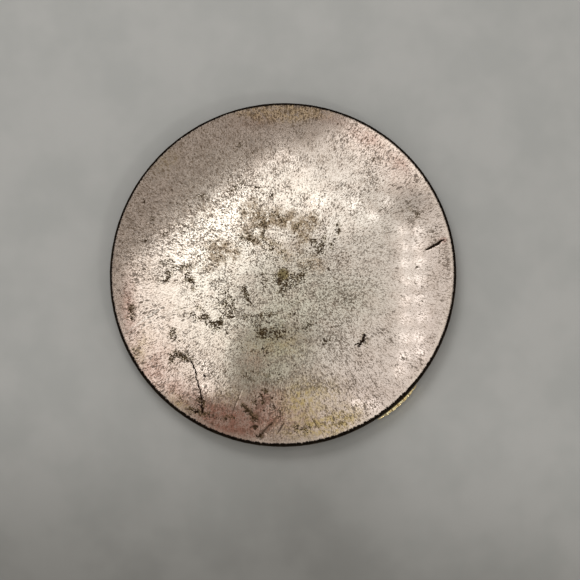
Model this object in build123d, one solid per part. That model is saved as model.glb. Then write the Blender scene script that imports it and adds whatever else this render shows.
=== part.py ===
from build123d import *
import os
from math import sin, cos, radians, degrees, asin, sqrt

# Thin metal dealer button with a turning suit dial.
# The plain plated back faces up (+Z), the decorated front faces down and the
# button lies on its border ring at z = 0.  The disc's axis is the Z axis.

os.makedirs("parts", exist_ok=True)

# ---- driving dimensions, mm ------------------------------------------------
DISC_R = 38.1          # outer radius of the button (3 in across)

FOOT_T = 0.5           # border ring that the button rests on
FRONT_T = 0.8          # front plate
GAP_H = 1.3            # free height between the plates
BACK_T = 0.8           # back plate
CROWN = 0.6            # how far the back plate rises at its centre
EDGE_ROUND = 0.58      # rounding of the back plate's edge

Z_FOOT = FOOT_T                    # 0.5  front plate, front side
Z_FRONT = Z_FOOT + FRONT_T         # 1.3  front plate, inner side
Z_SEAT = Z_FRONT + GAP_H           # 2.6  back plate's seat
Z_EDGE = Z_SEAT + BACK_T           # 3.4  back plate, top at the edge
Z_TOP = Z_EDGE + CROWN             # 4.0  top of the crown

RING_IN = 34.6         # rim ring, inner radius
RING_OUT = 37.95       # rim ring, outer radius
FRONT_R = 38.0         # front plate
BORDER_IN, BORDER_OUT = 33.0, 37.5
ENAMEL_R = 32.7        # enamelled field of the front

LIP_AZ = -48.7         # thumb-piece at rest
STEP = 20.0            # dial step between two detents, degrees
STEPS = 3              # steps of travel
SLOT_A = -41.4         # slot in the rim, from here clockwise ...
SLOT_B = -116.2        # ... to here

SCREW_R = 36.1         # screw circle
SCREW_AZ = [101.25 + a for a in (-130, -78, -26, 26, 78, 130)]
SCREW_SHANK, SCREW_HEAD = 0.6, 1.05

STUD_R = 1.5           # pivot
BORE_R = 1.55          # dial and washers on the pivot
DIAL_R = 34.3
DIAL_T = 0.5
Z_DIAL = 1.9           # underside of the dial

WIN_C = 24.0           # window centre from the axis, at azimuth 90
WIN_R = 4.3            # clear radius of the window
WIN_BORE = 5.1         # hole in the front plate
PIP = 5.8              # height of a suit pip


# ---- helpers ----------------------------------------------------------------
def polar(r, a):
    return (r * cos(radians(a)), r * sin(radians(a)))


def slab(face, z0, z1):
    return Pos(0, 0, z0) * extrude(face, amount=z1 - z0)


def disc(r, z0, z1, at=(0, 0)):
    return Pos(at[0], at[1], z0) * extrude(Circle(r), amount=z1 - z0)


def ring(r0, r1, z0, z1, at=(0, 0)):
    return Pos(at[0], at[1], z0) * extrude(Circle(r1) - Circle(r0), amount=z1 - z0)


def sector(r0, r1, a0, a1, z0, z1):
    """Part of a ring from azimuth a0 to a1, anticlockwise."""
    am = (a0 + a1) / 2
    edge = Curve() + [
        Line(polar(r0, a0), polar(r1, a0)),
        ThreePointArc(polar(r1, a0), polar(r1, am), polar(r1, a1)),
        Line(polar(r1, a1), polar(r0, a1)),
        ThreePointArc(polar(r0, a1), polar(r0, am), polar(r0, a0)),
    ]
    return slab(make_face(edge), z0, z1)


def turned(edges):
    """A solid turned about Z from a closed profile in the XZ plane."""
    return revolve(make_face(Curve() + edges), Axis.Z)


def save(shape, name):
    solids = shape.solids()
    shape = solids[0] if len(solids) == 1 else Compound(children=list(solids))
    shape.label = name
    export_step(shape, f"parts/{name}.step")


# ---- back plate ---------------------------------------------------------------
# pressed sheet: crowned, with a flat seat under the edge and a rounded rim
r_flat = DISC_R - EDGE_ROUND
z_flat = Z_EDGE
z_low = z_flat - EDGE_ROUND


def xz(x, z):
    return (x, 0, z)


def dome(r, z_axis, z_rim):
    """Arc about a centre on Z, from (0, z_axis) to (r, z_rim)."""
    sag = z_axis - z_rim
    big = (r * r + sag * sag) / (2 * sag)
    return (xz(0, z_axis), xz(r / 2, z_axis - big + sqrt(big * big - r * r / 4)), xz(r, z_rim))


k = sqrt(0.5)
seat_r = RING_IN - 0.1
under = dome(seat_r, Z_SEAT + CROWN, Z_SEAT)
over = dome(r_flat, Z_TOP, z_flat)
back_plate = turned([
    Line(xz(0, Z_TOP), xz(0, Z_SEAT + CROWN)),
    ThreePointArc(*under),
    Line(xz(seat_r, Z_SEAT), xz(DISC_R, Z_SEAT)),
    Line(xz(DISC_R, Z_SEAT), xz(DISC_R, z_low)),
    ThreePointArc(xz(DISC_R, z_low),
                  xz(r_flat + EDGE_ROUND * k, z_low + EDGE_ROUND * k),
                  xz(r_flat, z_flat)),
    ThreePointArc(*reversed(over)),
])

# ---- rim ring: open over the thumb-piece's travel -------------------------------
rim_ring = sector(RING_IN, RING_OUT, SLOT_A, SLOT_B + 360, Z_FRONT, Z_SEAT)
for a in SCREW_AZ:
    rim_ring -= disc(SCREW_SHANK, Z_FRONT - 0.1, Z_SEAT - 0.25, polar(SCREW_R, a))
# pocket for the detent spring, in the inner wall
DETENT_AZ = 101.25
rim_ring -= sector(RING_IN - 1, RING_IN + 0.75, DETENT_AZ - 9, DETENT_AZ + 9,
                   Z_FRONT + 0.3, Z_SEAT + 1)

# ---- front plate -----------------------------------------------------------------
front_plate = disc(FRONT_R, Z_FOOT, Z_FRONT)
front_plate = fillet(front_plate.edges().group_by(Axis.Z)[0], 0.3)
front_plate -= disc(WIN_BORE, 0, 3, (0, WIN_C))
front_plate -= disc(STUD_R, 0, 3)
for a in SCREW_AZ:
    front_plate -= disc(SCREW_SHANK, 0, 3, polar(SCREW_R, a))

# ---- border ring and its screws ---------------------------------------------------
border_ring = ring(BORDER_IN, BORDER_OUT, 0, Z_FOOT)
border_ring = fillet(border_ring.edges().group_by(Axis.Z)[0], 0.18)
screws = []
HEAD_Z = 0.03
for a in SCREW_AZ:
    x, y = polar(SCREW_R, a)
    hole = revolve(make_face(Polyline(
        xz(0, -0.5), xz(SCREW_HEAD + 0.02, -0.5), xz(SCREW_HEAD + 0.02, 0.12),
        xz(SCREW_SHANK, 0.42), xz(SCREW_SHANK, 1.0), xz(0, 1.0), close=True)), Axis.Z)
    border_ring -= Pos(x, y, 0) * hole
    body = revolve(make_face(Polyline(
        xz(0, HEAD_Z), xz(SCREW_HEAD, HEAD_Z), xz(SCREW_HEAD, 0.12),
        xz(SCREW_SHANK - 0.01, 0.42), xz(SCREW_SHANK - 0.01, Z_SEAT - 0.3),
        xz(0, Z_SEAT - 0.3), close=True)), Axis.Z)
    slot = Pos(0, 0, HEAD_Z) * Box(3, 0.26, 0.36)
    screws.append(Pos(x, y, 0) * (body - Rot(0, 0, a * 7 + 20) * slot))
front_screws = Compound(children=[s.solid() for s in screws])

# ---- enamelled field of the front ---------------------------------------------------
front_enamel = disc(ENAMEL_R, 0.28, Z_FOOT)
front_enamel -= disc(WIN_BORE + 0.95, 0, 2, (0, WIN_C))
front_enamel -= disc(3.2, 0, 2)

# ---- window ---------------------------------------------------------------------------
window_frame = revolve(make_face(Polyline(
    xz(WIN_R, 0.12), xz(WIN_BORE + 0.85, 0.12), xz(WIN_BORE + 0.85, Z_FOOT),
    xz(WIN_BORE, Z_FOOT), xz(WIN_BORE, Z_FRONT), xz(WIN_R + 0.4, Z_FRONT),
    xz(WIN_R + 0.4, 0.6), xz(WIN_R, 0.6), close=True)), Axis.Z)
window_frame = fillet(window_frame.edges().group_by(Axis.Z)[0], 0.15)
window_frame = Pos(0, WIN_C, 0) * window_frame
window_lens = disc(WIN_R + 0.4, 0.6, 1.15, (0, WIN_C))

# ---- dial ---------------------------------------------------------------------------------
dial = disc(DIAL_R, Z_DIAL, Z_DIAL + DIAL_T) - disc(BORE_R, 1, 3)
for i in range(STEPS + 1):
    a = DETENT_AZ + i * STEP
    notch = make_face(Polyline(polar(DIAL_R - 0.5, a), polar(DIAL_R + 0.3, a - 1.25),
                               polar(DIAL_R + 0.3, a + 1.25), close=True))
    dial -= slab(notch, 1, 3)
RIVET_R = 0.5
RIVETS = [polar(32.4, LIP_AZ - 3.4), polar(32.4, LIP_AZ + 3.4)]
for p in RIVETS:
    dial -= disc(RIVET_R, 1, 3, p)
dial_enamel = ring(WIN_C - 5.2, WIN_C + 5.2, Z_DIAL - 0.12, Z_DIAL)


# suit pips, upright when they come under the window
def heart(h):
    w = h * 0.26
    f = Sketch() + [Pos(-w * 0.93, h * 0.2) * Circle(w), Pos(w * 0.93, h * 0.2) * Circle(w)]
    return f + make_face(Polyline((-w * 1.82, h * 0.09), (0, -h * 0.5), (w * 1.82, h * 0.09),
                                  (0, h * 0.27), close=True))


def foot(h):
    return make_face(Polyline((-h * 0.2, -h * 0.5), (h * 0.2, -h * 0.5),
                              (h * 0.045, -h * 0.2), (h * 0.045, h * 0.05),
                              (-h * 0.045, h * 0.05), (-h * 0.045, -h * 0.2), close=True))


def spade(h):
    return Pos(0, h * 0.06) * (Rot(0, 0, 180) * heart(h * 0.86)) + foot(h)


def diamond(h):
    return make_face(Polyline((0, h * 0.5), (h * 0.36, 0), (0, -h * 0.5), (-h * 0.36, 0),
                              close=True))


def club(h):
    f = Sketch() + [Pos(0, h * 0.24) * Circle(h * 0.21),
                    Pos(-h * 0.235, -h * 0.06) * Circle(h * 0.21),
                    Pos(h * 0.235, -h * 0.06) * Circle(h * 0.21),
                    Circle(h * 0.13)]
    return f + foot(h)


def pip(face, i):
    """Pip i comes under the window when the dial has turned i steps clockwise."""
    s = slab(face, Z_DIAL - 0.24, Z_DIAL - 0.12)
    return Rot(0, 0, i * STEP) * Pos(0, WIN_C, 0) * s


black_pips = Compound(children=[pip(spade(PIP), 0).solid(), pip(club(PIP), 2).solid()])
red_pips = Compound(children=[pip(heart(PIP), 1).solid(), pip(diamond(PIP), 3).solid()])

# ---- thumb-piece: a tongue riveted under the dial, with a fluted lip outside the rim ------
Z_TONGUE = 1.45
tongue = sector(31.0, 38.35, LIP_AZ - 6, LIP_AZ + 6, Z_TONGUE, Z_DIAL)
LIP_LOW, LIP_HIGH = 0.9, 1.98
LIP_IN, LIP_END, LIP_REACH = 38.2, 38.24, 38.76
LIP_HALF = 8.7         # degrees either side of its middle
outline = Curve() + [
    Line(polar(LIP_IN - 0.6, LIP_AZ - LIP_HALF), polar(LIP_END, LIP_AZ - LIP_HALF)),
    ThreePointArc(polar(LIP_END, LIP_AZ - LIP_HALF), polar(LIP_REACH, LIP_AZ),
                  polar(LIP_END, LIP_AZ + LIP_HALF)),
    Line(polar(LIP_END, LIP_AZ + LIP_HALF), polar(LIP_IN - 0.6, LIP_AZ + LIP_HALF)),
    ThreePointArc(polar(LIP_IN - 0.6, LIP_AZ + LIP_HALF), polar(LIP_IN - 0.6, LIP_AZ),
                  polar(LIP_IN - 0.6, LIP_AZ - LIP_HALF)),
]
lip = slab(make_face(outline), LIP_LOW, LIP_HIGH)
FLUTES, FLUTE_PITCH, FLUTE_R, FLUTE_DEPTH = 6, 2.5, 0.3, 0.12
for i in range(FLUTES):
    j = i - (FLUTES - 1) / 2
    edge_r = LIP_REACH - (LIP_REACH - LIP_END) * (j * FLUTE_PITCH / LIP_HALF) ** 2
    lip -= disc(FLUTE_R, 0, 4, polar(edge_r + FLUTE_R - FLUTE_DEPTH, LIP_AZ + j * FLUTE_PITCH))
lip -= disc(LIP_IN, 0, Z_TONGUE)
lip -= disc(LIP_IN, Z_DIAL, 4)
lip -= sector(30, LIP_IN, LIP_AZ - 20, LIP_AZ - 6, 0, 4)
lip -= sector(30, LIP_IN, LIP_AZ + 6, LIP_AZ + 20, 0, 4)
thumb_piece = tongue + lip
for p in RIVETS:
    thumb_piece -= disc(RIVET_R, 0, 3, p)

dial_rivets = Compound(children=[
    (disc(RIVET_R, Z_TONGUE, Z_DIAL + DIAL_T, p)
     + disc(0.85, Z_DIAL + DIAL_T, Z_DIAL + DIAL_T + 0.1, p)
     + disc(0.85, Z_TONGUE - 0.08, Z_TONGUE, p)).solid() for p in RIVETS])

# ---- pivot and washers ---------------------------------------------------------------------
pivot_stud = (disc(STUD_R, 0.5, 3.0) + disc(3.4, 2.85, Z_SEAT + CROWN - 0.01)
              + disc(2.6, 0.14, Z_FOOT))
pivot_stud = fillet(pivot_stud.edges().group_by(Axis.Z)[0], 0.25)
spring_washer = turned([
    Line(xz(BORE_R + 0.05, 2.68), xz(BORE_R + 0.05, 2.84)),
    Line(xz(BORE_R + 0.05, 2.84), xz(3.3, 2.57)),
    Line(xz(3.3, 2.57), xz(3.3, 2.41)),
    Line(xz(3.3, 2.41), xz(BORE_R + 0.05, 2.68)),
])
spacer_washer = ring(BORE_R, 3.4, Z_FRONT, Z_DIAL - 0.01)

# ---- detent spring: a leaf trapped in the rim ring's pocket ----------------------------------
Z_LEAF0, Z_LEAF1 = 1.7, 2.5
leaf = sector(RING_IN + 0.35, RING_IN + 0.53, DETENT_AZ - 8.4, DETENT_AZ + 8.4, Z_LEAF0, Z_LEAF1)
nose = make_face(Polyline(polar(DIAL_R - 0.36, DETENT_AZ),
                          polar(RING_IN + 0.4, DETENT_AZ - 1.0),
                          polar(RING_IN + 0.4, DETENT_AZ + 1.0), close=True))
detent_spring = leaf + slab(nose, Z_LEAF0, Z_LEAF1)

# ---- write every piece ---------------------------------------------------------------------------
for name, shape in {
    "back_plate": back_plate,
    "rim_ring": rim_ring,
    "front_plate": front_plate,
    "front_enamel": front_enamel,
    "border_ring": border_ring,
    "front_screws": front_screws,
    "window_frame": window_frame,
    "window_lens": window_lens,
    "dial": dial,
    "dial_enamel": dial_enamel,
    "red_pips": red_pips,
    "black_pips": black_pips,
    "thumb_piece": thumb_piece,
    "dial_rivets": dial_rivets,
    "pivot_stud": pivot_stud,
    "spring_washer": spring_washer,
    "spacer_washer": spacer_washer,
    "detent_spring": detent_spring,
}.items():
    save(shape, name)
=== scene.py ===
import math
import bpy
import bmesh
import numpy as np
from mathutils import Vector, Matrix, Quaternion


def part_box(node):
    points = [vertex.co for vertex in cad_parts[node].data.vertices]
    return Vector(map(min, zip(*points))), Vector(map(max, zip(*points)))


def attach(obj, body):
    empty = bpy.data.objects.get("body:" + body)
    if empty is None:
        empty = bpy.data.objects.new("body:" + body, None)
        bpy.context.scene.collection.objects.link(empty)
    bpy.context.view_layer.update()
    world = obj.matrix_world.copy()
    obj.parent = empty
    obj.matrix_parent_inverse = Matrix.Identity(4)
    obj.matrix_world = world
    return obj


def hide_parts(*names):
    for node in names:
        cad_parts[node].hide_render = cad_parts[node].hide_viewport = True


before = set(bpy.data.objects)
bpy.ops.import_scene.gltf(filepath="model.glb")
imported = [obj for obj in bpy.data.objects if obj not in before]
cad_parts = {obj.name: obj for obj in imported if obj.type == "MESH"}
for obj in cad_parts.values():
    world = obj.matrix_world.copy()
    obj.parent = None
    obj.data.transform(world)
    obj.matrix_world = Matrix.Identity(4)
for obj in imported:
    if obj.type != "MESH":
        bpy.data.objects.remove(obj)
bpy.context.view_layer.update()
MM = 0.001
RNG = np.random.default_rng(8101)

# ------------------------------------------------------------------ sizes, mm
(x0, y0, z0), (x1, y1, z1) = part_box("back_plate")
DISC_R = (x1 - x0) / 2 / MM
Z_TOP = z1 / MM
Z_SEAT = z0 / MM
CROWN = 0.6
Z_EDGE = Z_TOP - CROWN
ROUND = 0.58
R_FLAT = DISC_R - ROUND
BIG = (R_FLAT ** 2 + CROWN ** 2) / (2 * CROWN)


def crown_z(r):
    return Z_TOP - BIG + np.sqrt(BIG * BIG - np.minimum(r, R_FLAT) ** 2)


# ------------------------------------------------------------------ node help
class Nodes:
    """Small helper that writes a node material."""

    def __init__(self, name):
        self.mat = bpy.data.materials.new(name)
        self.mat.use_nodes = True
        self.t = self.mat.node_tree
        self.t.nodes.clear()
        self.out = self.t.nodes.new("ShaderNodeOutputMaterial")
        self.bsdf = self.t.nodes.new("ShaderNodeBsdfPrincipled")
        self.t.links.new(self.bsdf.outputs[0], self.out.inputs["Surface"])

    def put(self, socket, value):
        if isinstance(value, bpy.types.NodeSocket):
            self.t.links.new(value, socket)
        elif value is not None:
            if hasattr(socket, "default_value"):
                if hasattr(socket.default_value, "__len__") and not hasattr(value, "__len__"):
                    value = [value] * len(socket.default_value)
                if hasattr(value, "__len__") and len(value) == 3 and len(socket.default_value) == 4:
                    value = (*value, 1.0)
                socket.default_value = value

    def node(self, kind, out=0, ins=None, **attrs):
        n = self.t.nodes.new(kind)
        for k, v in attrs.items():
            setattr(n, k, v)
        for k, v in (ins or {}).items():
            self.put(n.inputs[k], v)
        return n.outputs[out]

    def math(self, op, a, b=None, c=None, clamp=False):
        ins = {0: a}
        if b is not None:
            ins[1] = b
        if c is not None:
            ins[2] = c
        return self.node("ShaderNodeMath", 0, ins, operation=op, use_clamp=clamp)

    def mul(self, a, b, clamp=False):
        return self.math("MULTIPLY", a, b, clamp=clamp)

    def add(self, a, b, clamp=False):
        return self.math("ADD", a, b, clamp=clamp)

    def sub(self, a, b, clamp=False):
        return self.math("SUBTRACT", a, b, clamp=clamp)

    def inv(self, a):
        return self.math("SUBTRACT", 1.0, a, clamp=True)

    def step(self, x, lo, hi, a=0.0, b=1.0):
        """Smooth step of x from lo to hi."""
        n = self.t.nodes.new("ShaderNodeMapRange")
        n.interpolation_type = "SMOOTHSTEP"
        self.put(n.inputs[0], x)
        flip = hi < lo
        self.put(n.inputs[1], hi if flip else lo)
        self.put(n.inputs[2], lo if flip else hi)
        self.put(n.inputs[3], b if flip else a)
        self.put(n.inputs[4], a if flip else b)
        return n.outputs[0]

    def mix(self, f, a, b, mode="MIX"):
        n = self.t.nodes.new("ShaderNodeMix")
        n.data_type = "RGBA"
        n.blend_type = mode
        self.put(n.inputs[0], f)
        self.put(n.inputs[6], a)
        self.put(n.inputs[7], b)
        return n.outputs[2]

    def lerp(self, f, a, b):
        n = self.t.nodes.new("ShaderNodeMix")
        n.data_type = "FLOAT"
        self.put(n.inputs[0], f)
        self.put(n.inputs[2], a)
        self.put(n.inputs[3], b)
        return n.outputs[0]

    def pos(self):
        """Object position in millimetres."""
        c = self.node("ShaderNodeTexCoord", "Object")
        return self.node("ShaderNodeVectorMath", 0, {0: c, 3: 1000.0}, operation="SCALE")

    def sep(self, v):
        n = self.t.nodes.new("ShaderNodeSeparateXYZ")
        self.put(n.inputs[0], v)
        return n.outputs

    def vec(self, x, y, z):
        return self.node("ShaderNodeCombineXYZ", 0, {0: x, 1: y, 2: z})

    def noise(self, v, scale, detail=2.0, rough=0.5, out=0, kind=None, dist=0.0):
        n = self.t.nodes.new("ShaderNodeTexNoise")
        self.put(n.inputs["Vector"], v)
        n.inputs["Scale"].default_value = scale
        n.inputs["Detail"].default_value = detail
        n.inputs["Roughness"].default_value = rough
        n.inputs["Distortion"].default_value = dist
        return n.outputs[out]

    def voronoi(self, v, scale, out="Distance", feature="F1", rand=1.0):
        n = self.t.nodes.new("ShaderNodeTexVoronoi")
        n.feature = feature
        self.put(n.inputs["Vector"], v)
        n.inputs["Scale"].default_value = scale
        n.inputs["Randomness"].default_value = rand
        return n.outputs[out]

    def attr(self, name):
        n = self.t.nodes.new("ShaderNodeAttribute")
        n.attribute_name = name
        return n.outputs["Fac"]

    def bump(self, height, strength=1.0, distance=0.0001, normal=None):
        n = self.t.nodes.new("ShaderNodeBump")
        n.inputs["Strength"].default_value = strength
        n.inputs["Distance"].default_value = distance
        self.put(n.inputs["Height"], height)
        if normal is not None:
            self.put(n.inputs["Normal"], normal)
        return n.outputs[0]

    def set(self, **kw):
        for k, v in kw.items():
            self.put(self.bsdf.inputs[k.replace("_", " ")], v)


def new_mesh(name, verts, faces, smooth=True):
    """A mesh object from millimetre vertices."""
    me = bpy.data.meshes.new(name)
    me.from_pydata([tuple(v) for v in np.asarray(verts) * MM], [], faces)
    me.validate()
    me.update()
    ob = bpy.data.objects.new(name, me)
    bpy.context.scene.collection.objects.link(ob)
    if smooth:
        me.shade_smooth()
    return ob


# ------------------------------------------------------------------ camera
TILT = math.radians(8.5)
TOWARD = (0.34, -0.94)
LENS_PX = 2300.0
PX_MM = 0.2193
DIST = LENS_PX * PX_MM
AIM = Vector((1.69, -3.80, 3.4))
u = Vector((TOWARD[0] * math.sin(TILT), TOWARD[1] * math.sin(TILT), math.cos(TILT))).normalized()
EYE = Vector((0, 0, 3.4)) + u * DIST
cam_data = bpy.data.cameras.new("camera")
cam = bpy.data.objects.new("camera", cam_data)
bpy.context.scene.collection.objects.link(cam)
zc = (EYE - AIM).normalized()
xc = Vector((0, 1, 0)).cross(zc).normalized()
yc = zc.cross(xc)
cam.matrix_world = Matrix.Translation(EYE * MM) @ Matrix((xc, yc, zc)).transposed().to_4x4()
cam_data.sensor_width = 36
cam_data.lens = 36 * LENS_PX / 580
cam_data.clip_start = 0.01
bpy.context.scene.camera = cam
bpy.context.scene.view_settings.view_transform = "Standard"


# ------------------------------------------------------------------ light
def overhead(x, y, h):
    """Where, h mm up, a lamp has to be for its reflection to sit at (x, y) on the back plate."""
    r = math.hypot(x, y)
    p = Vector((x, y, float(crown_z(r))))
    n = Vector((x, y, math.sqrt(BIG * BIG - r * r))).normalized()
    i = (p - EYE).normalized()
    d = i - 2 * i.dot(n) * n
    return p + d * ((h - p.z) / d.z)


def panel(name, at, size, power, colour=(1, 1, 1), turn=0.0, look=None, shape="RECTANGLE"):
    """A soft light: at and size in mm."""
    d = bpy.data.lights.new(name, "AREA")
    d.shape = shape
    d.size = size[0] * MM
    if shape in ("RECTANGLE", "ELLIPSE"):
        d.size_y = size[1] * MM
    d.energy = power
    d.color = colour
    o = bpy.data.objects.new(name, d)
    bpy.context.scene.collection.objects.link(o)
    o.location = Vector(at) * MM
    way = (Vector(look or (0, 0, 0)) - Vector(at)).normalized()
    o.rotation_mode = "QUATERNION"
    o.rotation_quaternion = way.to_track_quat("-Z", "Y") @ Quaternion((0, 0, 1), math.radians(turn))
    o.visible_camera = False
    return o


def px(x, y):
    """Plate millimetres for a place given in 580-frame units."""
    return (x - 282.7) * PX_MM, -(y - 273.9) * PX_MM / 0.989


def card(name, x0, y0, x1, y1, glow, colour=(1, 1, 1), turn=0.0, h=400.0):
    """A flat lamp overhead whose reflection covers that part of the plate, in 580-frame units."""
    mx, my = (x0 + x1) / 2, (y0 + y1) / 2
    mid = overhead(*px(mx, my), h)
    k = 0.7
    w = (overhead(*px(mx + k * (x1 - mx), my), h) - overhead(*px(mx - k * (x1 - mx), my), h)).length / k
    d = (overhead(*px(mx, my + k * (y1 - my)), h) - overhead(*px(mx, my - k * (y1 - my)), h)).length / k
    o = panel(name, mid, (w, d), glow * math.pi * w * d * MM * MM, colour, 0.0,
              (mid.x + 1e-3, mid.y, 0.0))
    o.rotation_mode = "XYZ"
    o.rotation_euler = (0, 0, math.radians(turn))
    return o


world = bpy.data.worlds.new("studio")
world.use_nodes = True
bpy.context.scene.world = world
wt = world.node_tree
bg = wt.nodes["Background"]
co = wt.nodes.new("ShaderNodeTexCoord")
sp = wt.nodes.new("ShaderNodeSeparateXYZ")
wt.links.new(co.outputs["Generated"], sp.inputs[0])
ramp = wt.nodes.new("ShaderNodeValToRGB")
ramp.color_ramp.interpolation = "EASE"
ramp.color_ramp.elements[0].position = 0.0
ramp.color_ramp.elements[0].color = (0.66, 0.66, 0.655, 1)
ramp.color_ramp.elements[1].position = 0.93
ramp.color_ramp.elements[1].color = (0.285, 0.255, 0.222, 1)
wt.links.new(sp.outputs[2], ramp.inputs[0])
wt.links.new(ramp.outputs[0], bg.inputs[0])
bg.inputs[1].default_value = 1.0

panel("key", (-110, 275, 330), (240, 160), 0.46, (1.0, 0.99, 0.965))

panel("low_right", (235, -245, 280), (90, 60), 0.17, (1, 0.97, 0.9), 0, (25, -29, 2))

# what the plate mirrors: a bright diagonal window band, its lower left end, and a dimmer right side
card("band_mid", 150, 187, 328, 267, 1.22, (0.985, 0.985, 0.97), 38)
card("band_left", 162, 206, 262, 256, 0.66, (0.985, 0.985, 0.97), 36, 404.0)
card("band_high", 290, 140, 362, 190, 0.68, (0.955, 0.985, 0.975), 30)
card("band_low", 127, 255, 236, 350, 1.06, (1, 0.985, 0.955), 0)
card("band_foot", 138, 340, 230, 396, 0.92, (1, 0.98, 0.95), 0)
card("right_wide", 318, 188, 466, 420, 0.52, (0.975, 0.985, 1.0), 0)
card("centre", 232, 240, 326, 328, 0.62, (0.99, 0.985, 0.965), 0)
card("hot", 308, 164, 390, 244, 0.85, (0.96, 0.985, 0.99), 0)
card("hot_low", 312, 190, 366, 236, 0.48, (0.97, 0.985, 0.99), 20, 404.0)
card("bottom", 262, 342, 350, 434, 0.33, (1, 0.985, 0.93), 0)
card("right_edge", 394, 250, 436, 372, 0.06, (0.98, 0.98, 1), 0)
card("right_low", 310, 366, 438, 438, 0.70, (1, 0.98, 0.97), 35)
card("top_right", 344, 117, 450, 181, 1.05, (0.98, 0.975, 0.95), -40)
SPOTS = [(355, 205), (373, 218), (388, 204), (402, 233), (419, 233), (404, 249), (418, 248), (405, 265), (420, 264),
         (406, 283), (420, 282), (405, 302), (419, 301), (405, 320), (422, 318), (404, 339), (418, 339), (404, 357),
         (419, 354), (400, 372), (356, 404), (372, 405), (204, 367), (206, 388)]
for i, (sx_, sy_) in enumerate(SPOTS):
    at = overhead(*px(sx_, sy_), 95.0)
    o = panel(f"led_{i:02d}", at, (3.4, 3.4), 0.90 * math.pi * math.pi * 2.89e-6, (0.97, 0.98, 1), 0,
              (at.x + 1e-3, at.y, 0), "DISK")

# ------------------------------------------------------------------ floor
floor_me = bpy.data.meshes.new("floor")
S = 6.0
floor_me.from_pydata([(-S, -S, 0), (S, -S, 0), (S, S, 0), (-S, S, 0)], [], [(0, 1, 2, 3)])
floor = bpy.data.objects.new("floor", floor_me)
bpy.context.scene.collection.objects.link(floor)
m = Nodes("floor_paper")
p = m.pos()
mott = m.noise(p, 0.05, 3, 0.6)
fine = m.noise(p, 2.2, 3, 0.65)
c = m.mix(m.step(mott, 0.35, 0.65), (0.507, 0.521, 0.516), (0.560, 0.569, 0.564))
c = m.mix(m.mul(m.step(fine, 0.5, 0.8), 0.25), c, (0.48, 0.49, 0.485))
fx, fy, fz = m.sep(p)
# painted shadow: the floor colour is darkened towards the bottom and lower right, where a shadow falls across it
aside = m.math("MINIMUM", m.math("ABSOLUTE", m.sub(fx, 8.0)), 22.0)
lower = m.step(m.add(m.add(fy, m.mul(aside, 0.45)), m.mul(m.math("MAXIMUM", fx, 0.0), 0.26)), -8.0, -66.0)
c = m.mix(m.mul(lower, 0.9), c, m.mix(m.step(mott, 0.35, 0.65), (0.23, 0.23, 0.22), (0.27, 0.27, 0.26)))
m.set(Base_Color=c, Roughness=0.75, Normal=m.bump(fine, 0.15, 0.00005))
floor_me.materials.append(m.mat)


# ------------------------------------------------------------------ back plate
def concentric(n):
    """(n+1)^2 points of a square grid, spread evenly over the unit disc, and its quads and border."""
    g = np.linspace(-1, 1, n + 1)
    u, v = np.meshgrid(g, g, indexing="xy")
    r = np.where(np.abs(u) > np.abs(v), u, v)
    with np.errstate(divide="ignore", invalid="ignore"):
        a = np.where(np.abs(u) > np.abs(v), (math.pi / 4) * (v / u),
                     math.pi / 2 - (math.pi / 4) * (u / v))
    a = np.nan_to_num(a)
    xy = np.stack([r * np.cos(a), r * np.sin(a)], -1).reshape(-1, 2)
    i = np.arange(n * (n + 1)).reshape(n, n + 1)[:, :n].ravel()
    quads = np.stack([i, i + 1, i + n + 2, i + n + 1], -1)
    k = n + 1
    border = ([j for j in range(n)] + [j * k + n for j in range(n)]
              + [n * k + n - j for j in range(n)] + [(n - j) * k for j in range(n)])
    return xy, quads, border


N_GRID = 290
xy, quads, border = concentric(N_GRID)
top = xy * R_FLAT
rr = np.hypot(top[:, 0], top[:, 1])
verts = [np.column_stack([top, crown_z(rr)])]
faces = quads.tolist()
loop = list(border)
ang = np.arctan2(top[border, 1], top[border, 0])
base = len(top)


def add_ring(r, z):
    global base, loop
    verts.append(np.column_stack([r * np.cos(ang), r * np.sin(ang), np.full(len(ang), z)]))
    new = list(range(base, base + len(ang)))
    for j in range(len(ang)):
        k = (j + 1) % len(ang)
        faces.append([loop[j], new[j], new[k], loop[k]])
    loop = new
    base += len(ang)


for t in (15, 30, 45, 60, 75, 90):
    add_ring(R_FLAT + ROUND * math.sin(math.radians(t)), Z_EDGE - ROUND + ROUND * math.cos(math.radians(t)))
add_ring(DISC_R, Z_SEAT + 0.05)
add_ring(DISC_R - 0.05, Z_SEAT)
add_ring(34.5, Z_SEAT)
for r in (24.0, 12.0, 4.0):
    add_ring(r, Z_SEAT + CROWN * (1 - (r / 34.5) ** 2))
verts.append(np.array([[0, 0, Z_SEAT + CROWN]]))
for j in range(len(ang)):
    faces.append([loop[j], base, loop[(j + 1) % len(ang)]])
V = np.vstack(verts)

# ---- the plate's history, drawn on a fine raster in millimetres
CELL = 0.1
HALF = 38.4
NR = int(2 * HALF / CELL) + 1
gx, gy = np.meshgrid(np.linspace(-HALF, HALF, NR), np.linspace(-HALF, HALF, NR))
gr = np.hypot(gx, gy)


def blank():
    return np.zeros((NR, NR))


def fog(scale, seed, octaves=4, fall=0.5):
    """Smooth random field, about 0 to 1, with features of the given size in mm."""
    rng = np.random.default_rng(seed)
    total, amp, norm = blank(), 1.0, 0.0
    for _ in range(octaves):
        n = max(4, int(2 * HALF / scale) + 3)
        g = rng.random((n, n))
        t = np.linspace(0, n - 3.001, NR) + 0.5
        i = t.astype(int)
        f = t - i
        f = f * f * (3 - 2 * f)
        row = g[i][:, :] * (1 - f)[:, None] + g[i + 1][:, :] * f[:, None]
        total += amp * (row[:, i] * (1 - f)[None, :] + row[:, i + 1] * f[None, :])
        norm += amp
        amp *= fall
        scale /= 2.03
    return total / norm


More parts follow.
